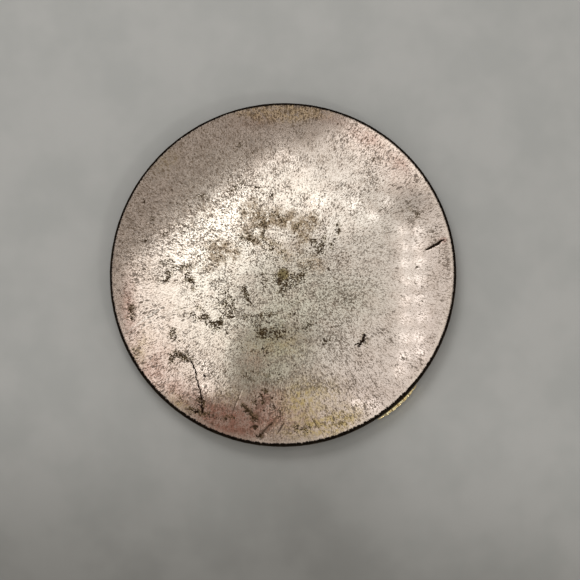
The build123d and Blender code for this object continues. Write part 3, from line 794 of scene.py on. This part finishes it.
# very fine light and dark grain everywhere
corner = m.step(m.add(m.mul(sx, -0.6), m.mul(sy, 0.8)), 17.0, 27.0)
wear = m.add(m.step(A["speck"], 0.05, 0.95, 0.6, 1.12), m.mul(corner, 0.15))
silver = m.mix(m.mul(m.step(hair, -0.2, 1.7, 0, 0.66), wear, clamp=True), silver, (0.27, 0.20, 0.145))
silver = m.mix(m.mul(m.step(dev(fine, 0.077), 0.2, 1.8, 0, 0.50), wear, clamp=True), silver, (0.24, 0.175, 0.12))
c = m.mix(m.mul(A["red"], m.step(patch, -1.8, 1.2, 0.52, 0.88)), silver, (0.47, 0.215, 0.16))
c = m.mix(m.mul(A["yellow"], m.step(patch2, -1.4, 1.4, 0.2, 0.85)), c, (0.66, 0.51, 0.21))
# painted shade: the colour is multiplied darker over the dim mask
c = m.mix(A["painted_shade_dim"], c, (0.63, 0.62, 0.61), "MULTIPLY")
# brown film with a soft grainy edge
filmz = m.add(m.mul(patch, 0.75), m.mul(patch2, 0.35))
film = m.mul(m.step(A["brown"], 0.05, 0.75), m.step(m.add(filmz, m.mul(A["brown"], 1.6)), -0.9, 1.6, 0.15, 1.0))
c = m.mix(m.mul(film, m.step(grain, -1.8, 0.6, 0.55, 0.9)), c, m.mix(m.step(m.add(grain, m.mul(dash, 0.6)), -1.2, 2.0), (0.50, 0.36, 0.205), (0.13, 0.080, 0.036)))
c = m.mix(m.mul(A["disc"], 0.85), c, m.mix(m.step(patch2, -1.0, 1.2), (0.36, 0.29, 0.11), (0.15, 0.12, 0.04)))
# specks: small dark dots near the middle, short radial dashes further out, in drifts


def dots(vector, scale, size, share, flat=True):
    """One grain to a cell, in that share of the cells, up to the given size in cells."""
    n = m.t.nodes.new("ShaderNodeTexVoronoi")
    n.voronoi_dimensions = "2D" if flat else "3D"
    m.put(n.inputs["Vector"], vector)
    n.inputs["Scale"].default_value = scale
    pick = m.sep(n.outputs["Color"])
    there = m.sub(share, pick[0])
    r = m.mul(m.add(0.55, m.mul(pick[1], 0.45)), size)
    r = m.mul(r, m.step(there, 0.0, 0.12))
    return m.mul(m.step(m.sub(n.outputs["Distance"], r), 0.03, -0.07), m.add(0.72, m.mul(pick[2], 0.28)))


wob = m.node("ShaderNodeVectorMath", 0, {0: m.noise(p, 3.0, 1, 0.5, out=1), 3: 0.35}, operation="SCALE")
pw = m.node("ShaderNodeVectorMath", 0, {0: p, 1: wob}, operation="ADD")
share = m.add(m.add(m.add(m.mul(A["speck"], 0.34), m.mul(corner, 0.10)), m.mul(patch, 0.06)), m.add(m.mul(A["olive"], 0.7), m.mul(A["brown"], 0.15)), clamp=True)
dot_a = dots(pw, 1.45, 0.35, share)
dot_b = dots(m.node("ShaderNodeVectorMath", 0, {0: pw, 1: (17.3, 5.1, 0.0)}, operation="ADD"), 2.0, 0.35, m.mul(share, 0.8))
strip = m.vec(m.mul(ux, 52.0), m.mul(uy, 52.0), m.mul(rad, 0.85))
dot_c = dots(strip, 1.0, 0.53, m.mul(share, 1.25, clamp=True), False)
drift = m.add(m.mul(A["speck"], 1.45), m.mul(patch, 0.27))
d1 = m.step(m.add(dash, drift), 2.1, 2.4)
d2 = m.step(m.add(grain, drift), 2.05, 2.4)
spk = m.math("MAXIMUM", m.mul(m.math("MAXIMUM", d1, d2), 0.62), m.math("MAXIMUM", m.mul(dot_b, 0.85), m.lerp(m.mul(far, 0.75), m.mul(dot_a, 0.9), m.mul(dot_c, 0.9))))
# crusts: fractal clusters of grains with a thin brown or olive halo
cz = m.add(m.add(m.mul(patch, 0.62), m.mul(grain, 0.62)), m.mul(patch2, 0.40))
on = m.step(A["olive"], 0.04, 0.22)
halo = m.mul(m.step(m.add(cz, m.mul(A["olive"], 2.8)), 0.8, 2.3), on)
crust = m.mul(m.step(m.add(m.add(m.mul(patch, 0.45), m.mul(grain, 0.75)), m.mul(A["olive"], 2.8)), 1.75, 2.1), on)
c = m.mix(m.mul(halo, 0.40), c, m.mix(m.step(patch2, -0.8, 0.8), (0.36, 0.25, 0.14), (0.33, 0.28, 0.13)))
c = m.mix(spk, c, (0.055, 0.031, 0.012))
c = m.mix(m.mul(crust, 0.92), c, m.mix(m.step(grain, 0.0, 1.5), (0.095, 0.062, 0.024), (0.024, 0.014, 0.006)))
c = m.mix(m.mul(A["bright"], 0.8), c, (1.0, 0.95, 0.88))
c = m.mix(m.step(A["line"], 0.2, 0.7, 0, 0.85), c, (0.08, 0.05, 0.03))
pitm = m.step(m.add(A["pit"], m.mul(grain, 0.12)), 0.35, 0.7, 0, 0.94)
c = m.mix(pitm, c, (0.048, 0.029, 0.014))
cutm = m.step(m.add(A["cut"], m.mul(grain, 0.06)), 0.25, 0.5)
c = m.mix(cutm, c, (0.018, 0.010, 0.006))
# a painted highlight, pale pink, just inside the edge along the bottom and right; then the edge itself is black
ragged = m.add(rad, m.mul(m.sub(rays(90, 0.8, 71), 0.5), 0.5))
highlight_side = m.step(m.add(m.mul(ux, 0.75), m.mul(uy, -0.65)), -0.45, 0.35)
pale = m.mul(m.mul(highlight_side, m.step(A["red"], 0.5, 0.1, 0.25, 1.0)), m.step(rays(9, 0.2, 5), 0.36, 0.58, 0.15, 0.6))
c = m.mix(m.mul(m.step(ragged, 36.4, 37.1), pale), c, (1.0, 0.87, 0.76))
# painted shade: along the bottom the black edge reaches further in, because the edge facing away from the light is in
# shade
painted_shade_bottom = m.step(m.add(m.mul(uy, 0.9), m.mul(m.math("ABSOLUTE", m.add(ux, 0.1)), 0.28)), 0.1, -0.55)
ragged2 = m.add(ragged, m.mul(painted_shade_bottom, m.add(0.12, m.mul(m.sub(rays(110, 1.2, 73), 0.5), 0.9))))
black = m.step(ragged2, 37.42, 37.58)
# painted sheen: the outermost rounding of the edge is a lighter brown than the black, as where light catches it
outer = m.step(m.add(rad, m.mul(m.sub(rays(30, 0.3, 3), 0.5), 0.8)), 37.75, 38.05)
c = m.mix(black, c, m.mix(m.step(fine, 0.52, 0.68), (0.004, 0.0026, 0.0018), (0.030, 0.018, 0.010)))
c = m.mix(m.mul(outer, 0.6), c, (0.030, 0.022, 0.012))
dirt = m.math("MAXIMUM", m.math("MAXIMUM", m.mul(crust, 0.9), cutm), m.math("MAXIMUM", m.mul(film, 0.5),
                                                                          m.mul(spk, 0.8)))
metal = m.sub(0.74, m.add(m.mul(dirt, 0.65), m.mul(black, 0.74)), clamp=True)
rough = m.add(m.add(m.step(hair, -1.0, 1.5, 0.065, 0.13), m.mul(dirt, 0.42)), m.mul(black, 0.5), clamp=True)
h = m.add(m.mul(hair, 0.08), m.mul(spk, -0.5))
spec = m.mul(m.inv(m.math("MAXIMUM", m.math("MAXIMUM", cutm, m.mul(black, 0.92)), m.math("MAXIMUM", m.math("MAXIMUM", m.mul(spk, 0.8), m.mul(crust, 0.8)), pitm))), 0.4)
m.set(Base_Color=c, Metallic=metal, Roughness=rough, Normal=m.bump(h, 0.03, 0.00002),
      Specular_IOR_Level=spec)
me.materials.append(m.mat)
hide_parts("back_plate")
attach(plate, "case")


# ------------------------------------------------------------------ finishes of the other pieces
def start(name):
    """A new material with its position, radius and direction from the axis."""
    m = Nodes(name)
    p = m.pos()
    x, y, z = m.sep(p)
    r = m.math("SQRT", m.add(m.mul(x, x), m.mul(y, y)))
    safe = m.math("MAXIMUM", r, 0.4)
    return m, p, z, r, m.math("DIVIDE", x, safe), m.math("DIVIDE", y, safe)


def turning(m, r, ux, uy, k=9.0, seed=0.0):
    """Marks of a lathe or of polishing in circles."""
    return m.noise(m.vec(m.add(m.mul(r, k), seed), m.mul(ux, 2.2), m.mul(uy, 2.2)), 1.0, 4, 0.65)


def brush(m, r, ux, uy, k=120.0, seed=0.0):
    """Marks of a brush drawn out along the radius."""
    return m.noise(m.vec(m.mul(ux, k), m.mul(uy, k), m.add(m.mul(r, 0.5), seed)), 1.0, 3, 0.6)


def metal_finish(name, clean, dull, dark, marks="turned", rough=(0.18, 0.4), grime=0.5, bump=0.12, low=None):
    """Brass or steel: clean metal, a duller film over part of it, grime in patches, and tool marks."""
    m, p, z, r, ux, uy = start(name)
    film = m.noise(p, 0.32, 5, 0.65)
    blot = m.noise(p, 1.2, 6, 0.75)
    grit = m.noise(p, 5.0, 3, 0.65)
    lines = {"turned": turning, "brushed": brush}[marks](m, r, ux, uy)
    c = m.mix(m.step(film, 0.40, 0.62), clean, dull)
    c = m.mix(m.step(lines, 0.48, 0.72, 0, 0.45), c, dark)
    g = m.mul(m.step(blot, 0.60 - 0.14 * grime, 0.66 - 0.08 * grime), m.step(grit, 0.3, 0.6, 0.4, 1.0))
    c = m.mix(m.mul(g, 0.85), c, dark)
    if low is not None:  # darker where grime gathers: low(m, z, r) is 1 there
        g = m.math("MAXIMUM", g, low(m, z, r))
        c = m.mix(m.mul(low(m, z, r), 0.8), c, dark)
    m.set(Base_Color=c, Metallic=m.step(g, 0, 1, 0.98, 0.45),
          Roughness=m.add(m.step(lines, 0.3, 0.7, rough[0], rough[1]), m.mul(g, 0.3), clamp=True),
          Normal=m.bump(m.add(lines, m.mul(grit, 0.5)), bump, 0.00003))
    return m.mat


def blackened(name, worn_z=(), bare=(0.50, 0.36, 0.17)):
    """Blackened brass whose finish is rubbed off in places and along its edges."""
    m, p, z, r, ux, uy = start(name)
    rub = m.noise(p, 0.8, 6, 0.72)
    grit = m.noise(p, 4.5, 4, 0.7)
    lines = turning(m, m.add(r, m.mul(z, 1.0)), ux, uy, 12.0)
    c = m.mix(m.step(rub, 0.35, 0.65), (0.020, 0.016, 0.012), (0.062, 0.047, 0.034))
    c = m.mix(m.step(lines, 0.5, 0.75, 0, 0.5), c, (0.11, 0.08, 0.05))
    worn = m.step(rub, 0.60, 0.66)
    for at, width in worn_z:
        near_edge = m.step(m.math("ABSOLUTE", m.sub(z, at)), width, width * 0.3)
        worn = m.math("MAXIMUM", worn, m.mul(near_edge, m.step(grit, 0.40, 0.58)))
    worn = m.mul(worn, m.step(grit, 0.38, 0.52))
    c = m.mix(m.mul(worn, 0.85), c, m.mix(m.step(grit, 0.5, 0.7), bare, (0.30, 0.20, 0.09)))
    m.set(Base_Color=c, Metallic=m.step(worn, 0, 1, 0.2, 0.95), Roughness=m.step(grit, 0.3, 0.7, 0.38, 0.60),
          Normal=m.bump(m.add(grit, m.mul(lines, 0.6)), 0.3, 0.00004))
    return m.mat


def enamel(name, base, deep, pale, crackle=0.0, pattern=None):
    """Glassy enamel: shade from its depth, pinholes, hair scratches and, if old, crackle."""
    m, p, z, r, ux, uy = start(name)
    shade = m.noise(p, 0.22, 4, 0.6)
    speckle = m.noise(p, 6.0, 2, 0.6)
    scratch = m.noise(m.vec(m.mul(m.sep(p)[0], 0.35), m.mul(m.sep(p)[1], 9.0), 0.0), 1.0, 3, 0.7)
    c = m.mix(m.step(shade, 0.38, 0.62), base, deep)
    h = m.mul(speckle, 0.2)
    if pattern is not None:
        w = pattern(m, z, r, ux, uy)
        c = m.mix(m.mul(w, 0.55), c, pale)
        h = m.add(h, m.mul(w, 0.5))
    c = m.mix(m.step(speckle, 0.66, 0.72, 0, 0.8), c, deep)
    c = m.mix(m.step(scratch, 0.66, 0.72, 0, 0.35), c, pale)
    if crackle:
        cells = m.voronoi(p, 0.55, "Distance", "DISTANCE_TO_EDGE")
        line = m.mul(m.step(cells, 0.035, 0.0), m.step(shade, 0.42, 0.56))
        c = m.mix(m.mul(line, crackle), c, deep)
        h = m.sub(h, m.mul(line, 0.6))
    m.set(Base_Color=c, Roughness=m.add(m.step(speckle, 0.3, 0.7, 0.10, 0.22), m.step(scratch, 0.6, 0.72, 0, 0.25)),
          Coat_Weight=0.5, Coat_Roughness=0.08, Normal=m.bump(h, 0.2, 0.00004))
    return m.mat


def engine_turned(m, z, r, ux, uy):
    """Wavy rays, like the engine-turned ground under a watch dial's enamel."""
    a = m.math("ARCTAN2", uy, ux)
    wave = m.math("SINE", m.mul(r, 1.15))
    return m.add(m.mul(m.math("SINE", m.add(m.mul(a, 72.0), m.mul(wave, 2.4))), 0.5), 0.5)


def paint(node, material, bevel=0.0):
    """A CAD node keeps its shape and gets a finish, and softened edges."""
    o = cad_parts[node]
    o.data.materials.clear()
    o.data.materials.append(material)
    if bevel:
        b = o.modifiers.new("edges", "BEVEL")
        b.width = bevel * MM
        b.segments = 2
        b.limit_method = "ANGLE"
        b.angle_limit = math.radians(40)
        b.use_clamp_overlap = True
    return o


GILT = ((0.86, 0.62, 0.27), (0.62, 0.42, 0.17), (0.10, 0.06, 0.025))
RAW = ((0.62, 0.46, 0.23), (0.40, 0.27, 0.12), (0.07, 0.045, 0.02))
STEEL = ((0.60, 0.59, 0.57), (0.40, 0.38, 0.35), (0.09, 0.065, 0.045))
paint("rim_ring", blackened("blackened_rim", ((1.3, 0.06), (2.6, 0.06))))
paint("front_plate", blackened("blackened_front", ((0.56, 0.10), (1.3, 0.05))))
paint("front_screws", metal_finish("screw_steel", *STEEL, marks="brushed", grime=0.6))
paint("window_frame", metal_finish("frame_gilt", *GILT, grime=0.5))
paint("dial", metal_finish("dial_brass", *RAW, marks="brushed", rough=(0.22, 0.42), grime=0.6))
paint("dial_enamel", enamel("dial_cream", (0.80, 0.74, 0.58), (0.45, 0.36, 0.22), (0.90, 0.86, 0.74), 0.55))
paint("red_pips", enamel("pip_red", (0.46, 0.025, 0.022), (0.20, 0.008, 0.010), (0.72, 0.12, 0.08)), 0.03)
paint("black_pips", enamel("pip_black", (0.014, 0.013, 0.013), (0.004, 0.004, 0.004), (0.10, 0.10, 0.11)), 0.03)
paint("dial_rivets", metal_finish("rivet_brass", *RAW, grime=0.7), 0.04)
paint("pivot_stud", metal_finish("stud_gilt", *GILT, grime=0.5))
paint("spring_washer", metal_finish("spring_steel", *STEEL, grime=0.3))
paint("spacer_washer", metal_finish("washer_brass", *RAW, grime=0.4))
paint("detent_spring", metal_finish("leaf_steel", *STEEL, marks="brushed", grime=0.3))

m, p, z, r, ux, uy = start("window_glass")
haze = m.noise(p, 0.6, 5, 0.7)
scratch = m.noise(m.vec(m.mul(m.sep(p)[0], 0.6), m.mul(m.sep(p)[1], 12.0), 0.0), 1.0, 3, 0.7)
m.set(Base_Color=m.mix(m.step(haze, 0.4, 0.65), (0.97, 0.98, 0.97), (0.90, 0.92, 0.88)),
      Roughness=m.add(m.step(haze, 0.45, 0.7, 0.01, 0.10), m.step(scratch, 0.64, 0.70, 0, 0.3)), IOR=1.5,
      Transmission_Weight=1.0, Normal=m.bump(m.add(haze, scratch), 0.08, 0.00003))
paint("window_lens", m.mat)


# ------------------------------------------------------------------ pieces with relief
def relief(name, r0, r1, nr, na, front, back, holes=()):
    """A ring made of a polar grid: front(r, a, x, y) is its lower face, back its flat upper face, in mm.
    holes are (x, y, radius) right through."""
    rs = np.linspace(r0, r1, nr + 1)
    an = np.linspace(0, 2 * math.pi, na, endpoint=False)
    rg, ag = np.meshgrid(rs, an, indexing="ij")
    x, y = rg * np.cos(ag), rg * np.sin(ag)
    gone = np.zeros((nr, na), bool)
    for hx, hy, hr in holes:
        d = np.hypot(x - hx, y - hy)
        inside = d < hr
        f = inside[:-1] & inside[1:] & np.roll(inside, -1, 1)[:-1] & np.roll(inside, -1, 1)[1:]
        gone |= f
        # what is left inside the circle and next to it goes onto the circle
        keep = np.zeros_like(inside)
        for i in (0, 1):
            for j in (0, 1):
                keep[i:nr + i] |= np.roll(~f, j, 1)
        snap = inside & keep
        nx, ny = (x - hx) / np.maximum(d, 1e-6), (y - hy) / np.maximum(d, 1e-6)
        x = np.where(snap, hx + nx * hr, x)
        y = np.where(snap, hy + ny * hr, y)
    rr_, aa_ = np.hypot(x, y), np.arctan2(y, x)
    zf = front(rr_, aa_, x, y)
    n = (nr + 1) * na
    low = np.stack([x, y, zf], -1).reshape(-1, 3)
    high = np.stack([x, y, np.full_like(x, back)], -1).reshape(-1, 3)
    idx = np.arange(n).reshape(nr + 1, na)
    nxt = np.roll(idx, -1, 1)
    k = ~gone
    q = np.stack([idx[:-1][k], nxt[:-1][k], nxt[1:][k], idx[1:][k]], -1)
    faces = [tuple(f) for f in q.tolist()]
    faces += [tuple(v + n for v in reversed(f)) for f in q.tolist()]
    # walls along every border edge of the lower face
    seen = {}
    for f in q.tolist():
        for a, b in zip(f, f[1:] + f[:1]):
            seen[(a, b)] = seen.get((a, b), 0) + 1
    for a, b in list(seen):
        if (b, a) not in seen:
            faces.append((b, a, a + n, b + n))
    ob = new_mesh(name, np.vstack([low, high]), faces)
    bm = bmesh.new()
    bm.from_mesh(ob.data)
    loose = [v for v in bm.verts if not v.link_faces]
    bmesh.ops.delete(bm, geom=loose, context="VERTS")
    bmesh.ops.recalc_face_normals(bm, faces=bm.faces)
    bm.to_mesh(ob.data)
    bm.free()
    ob.data.set_sharp_from_angle(angle=math.radians(38))
    return ob


SCREW_AT = [(36.1 * math.cos(math.radians(101.25 + k)), 36.1 * math.sin(math.radians(101.25 + k)))
            for k in (-130, -78, -26, 26, 78, 130)]


def screw_gap(x, y):
    return np.min([np.hypot(x - sx_, y - sy_) for sx_, sy_ in SCREW_AT], axis=0)


def border_face(r, a, x, y):
    """Rope along the outer edge, beads along the inner one, leaves between them, flat pads at the screws."""
    beads = 0.5 + 0.5 * np.cos(a * 168)
    t = (r - 33.75) / 0.62
    inner = np.sqrt(np.clip(1 - t * t, 0, 1)) * (0.26 + 0.16 * np.sqrt(beads))
    t = (r - 36.86) / 0.60
    twist = 0.5 + 0.5 * np.cos(a * 180 + t * 1.5)
    outer = np.sqrt(np.clip(1 - t * t, 0, 1)) * (0.30 + 0.14 * np.sqrt(twist))
    t = (r - 35.3) / 0.9
    leaf = np.clip(1 - t * t, 0, 1) * 0.20 * (0.55 + 0.45 * np.abs(np.cos(a * 60 + np.abs(t) * 1.3))) ** 2
    rise = np.maximum(np.maximum(inner, outer), leaf) + 0.06
    rise = np.minimum(rise, 0.5)
    rise = np.where(r < 33.06, 0.10, rise)
    edge_fall = smooth(37.5 - r, 0.0, 0.16)
    rise = 0.10 + (rise - 0.10) * edge_fall
    d = screw_gap(x, y)
    pad = 1 - smooth(d, 1.40, 1.58)
    rise = rise * (1 - pad) + 0.47 * pad
    cone = np.clip((1.07 - d) / 0.47, 0, 1) * 0.30 + np.where(d < 1.08, 0.09, 0)
    rise = np.where(d < 1.10, rise - cone, rise)
    return 0.5 - np.clip(rise, 0.02, 0.5)


border = relief("rope_border", 33.0, 37.5, 32, 1440, border_face, 0.5, [(x, y, 0.6) for x, y in SCREW_AT])
deep = metal_finish("border_gilt", *GILT, rough=(0.2, 0.38), grime=0.4,
                    low=lambda m, z, r: m.step(z, 0.16, 0.36))
border.data.materials.append(deep)
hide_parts("border_ring")
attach(border, "case")


def enamel_face(r, a, x, y):
    """A slightly domed field with wavy rays, a plain band round its edge, the window and the stud."""
    wave = 0.5 + 0.5 * np.sin(a * 72 + 2.4 * np.sin(r * 1.15))
    clear = smooth(r, 4.6, 5.6) * smooth(30.9 - r, 0.0, 0.5) * smooth(np.hypot(x, y - 24.0), 7.3, 7.9)
    band = 0.035 * smooth(r, 30.9, 31.2)
    dip = 0.06 * smooth(r, 32.2, 32.7) + 0.05 * (1 - smooth(np.hypot(x, y - 24.0), 6.05, 6.4))
    return 0.30 + 0.045 * (1 - wave) * clear - 0.012 * (1 - clear) + dip - np.minimum(band, 0.008)


field = relief("enamel_field", 3.2, 32.7, 60, 792, enamel_face, 0.5, [(0.0, 24.0, 6.05)])
field.data.materials.append(enamel("field_green", (0.016, 0.085, 0.052), (0.006, 0.035, 0.024), (0.07, 0.24, 0.15),
                                   0.0, engine_turned))
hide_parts("front_enamel")
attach(field, "case")


# thumb-piece: tongue and fluted lip
LIP_AZ, LIP_HALF = -48.7, 8.7
NA, lip_v, valley = 420, [], []
for i in range(NA + 1):
    t = -LIP_HALF + 2 * LIP_HALF * i / NA
    edge_r = 38.76 - 0.50 * abs(t / LIP_HALF) ** 3.2
    k = (t / 2.5 + 2.5) % 1.0
    in_row = 1.0 if abs(t) < 7.3 else max(0.0, 1 - (abs(t) - 7.3) / 0.3)
    v = (0.5 + 0.5 * math.cos(2 * math.pi * k)) ** 1.6 * in_row
    worn = 0.012 * math.sin(t * 5.3 + 1) * math.sin(t * 11.7)
    ro = max(edge_r - 0.13 * v - abs(worn), 38.225)
    th = min(0.16, (ro - 38.2) * 0.6)
    sec = []
    for q in range(7):
        e = math.radians(90 * q / 6)
        sec.append((ro - th + th * math.sin(e), 0.90 + 0.16 - 0.16 * math.cos(e)))
    for q in range(7):
        e = math.radians(90 * q / 6)
        sec.append((ro - th + th * math.cos(e), 1.98 - 0.16 + 0.16 * math.sin(e)))
    sec += [(38.2, 1.98), (38.2, 0.90)]
    az = math.radians(LIP_AZ + t)
    for r_, z_ in sec:
        lip_v.append((r_ * math.cos(az), r_ * math.sin(az), z_))
        valley.append(v)
NS = 16
faces = []
for i in range(NA):
    for j in range(NS):
        k = (j + 1) % NS
        faces.append((i * NS + j, (i + 1) * NS + j, (i + 1) * NS + k, i * NS + k))
faces.append(tuple(range(NS)))
faces.append(tuple(NA * NS + j for j in reversed(range(NS))))
lip = new_mesh("thumb_lip", lip_v, faces)
at = lip.data.attributes.new("valley", "FLOAT", "POINT")
at.data.foreach_set("value", valley)


def block(name, r0, r1, a0, a1, z0, z1, n=24, bev=0.05):
    """A bevelled part of a flat ring."""
    v, f = [], []
    for i in range(n + 1):
        a = math.radians(a0 + (a1 - a0) * i / n)
        for r_, z_ in ((r0, z0), (r1, z0), (r1, z1), (r0, z1)):
            v.append((r_ * math.cos(a), r_ * math.sin(a), z_))
    for i in range(n):
        for j in range(4):
            k = (j + 1) % 4
            f.append((i * 4 + j, (i + 1) * 4 + j, (i + 1) * 4 + k, i * 4 + k))
    f.append((0, 1, 2, 3))
    f.append(tuple(n * 4 + j for j in (3, 2, 1, 0)))
    ob = new_mesh(name, v, f)
    bm = bmesh.new()
    bm.from_mesh(ob.data)
    bmesh.ops.recalc_face_normals(bm, faces=bm.faces)
    sharp = [e for e in bm.edges if len(e.link_faces) == 2 and e.calc_face_angle() > 1.0]
    bmesh.ops.bevel(bm, geom=sharp, offset=bev * MM, segments=2, affect="EDGES", profile=0.5)
    bm.to_mesh(ob.data)
    bm.free()
    return ob


def rod(name, x, y, r, z0, z1, n=32):
    v = [(x + r * math.cos(2 * math.pi * i / n), y + r * math.sin(2 * math.pi * i / n), z) for z in (z0, z1)
         for i in range(n)]
    f = [(i, (i + 1) % n, (i + 1) % n + n, i + n) for i in range(n)]
    f += [tuple(reversed(range(n))), tuple(range(n, 2 * n))]
    return new_mesh(name, v, f)


def cut_join(ob, other, op):
    """ob joined with, or cut by, another mesh, which then goes."""
    mod = ob.modifiers.new("bool", "BOOLEAN")
    mod.operation, mod.object, mod.solver = op, other, "EXACT"
    deps = bpy.context.evaluated_depsgraph_get()
    new = bpy.data.meshes.new_from_object(ob.evaluated_get(deps))
    ob.modifiers.clear()
    ob.data = new
    bpy.data.objects.remove(other, do_unlink=True)


for ob in (lip,):
    bm = bmesh.new()
    bm.from_mesh(ob.data)
    bmesh.ops.recalc_face_normals(bm, faces=bm.faces)
    bm.to_mesh(ob.data)
    bm.free()
thumb = block("thumb_piece_fluted", 31.0, 38.34, LIP_AZ - 6, LIP_AZ + 6, 1.45, 1.9)
cut_join(thumb, lip, "UNION")
for s_ in (-3.4, 3.4):
    a = math.radians(LIP_AZ + s_)
    cut_join(thumb, rod("rivet_hole", 32.4 * math.cos(a), 32.4 * math.sin(a), 0.5, 1.0, 2.4), "DIFFERENCE")
thumb.data.shade_smooth()
thumb.data.set_sharp_from_angle(angle=math.radians(35))

m, p, z, r, ux, uy = start("thumb_gilt_worn_painted_shade")
blot = m.noise(p, 1.6, 6, 0.75)
grit = m.noise(p, 6.0, 3, 0.65)
groove = m.attr("valley")
lines = m.noise(m.vec(m.mul(ux, 300.0), m.mul(uy, 300.0), m.mul(z, 1.2)), 1.0, 3, 0.6)
c = m.mix(m.step(blot, 0.42, 0.62), (1.0, 0.90, 0.56), (1.0, 0.74, 0.32))
c = m.mix(m.step(m.add(groove, m.mul(m.sub(grit, 0.5), 0.8)), 0.62, 1.0, 0, 0.6), c, (0.24, 0.15, 0.05))
c = m.mix(m.step(blot, 0.64, 0.68, 0, 0.7), c, (0.09, 0.05, 0.02))
# painted shade: the lip's lower part, near the floor, is darker
c = m.mix(m.step(z, 1.12, 0.92, 0, 0.6), c, (0.16, 0.10, 0.045))
# painted shade: the inner part of the lip, beside the plate's edge, is darker
c = m.mix(m.step(r, 38.27, 38.19, 0, 0.75), c, (0.07, 0.04, 0.018))
m.set(Base_Color=c, Metallic=m.step(groove, 0.3, 0.9, 0.98, 0.6), Roughness=m.step(grit, 0.3, 0.7, 0.12, 0.26),
      Normal=m.bump(m.add(m.mul(grit, 0.6), m.mul(lines, 0.5)), 0.15, 0.00004))
thumb.data.materials.clear()
thumb.data.materials.append(m.mat)
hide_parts("thumb_piece")
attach(thumb, "dial")
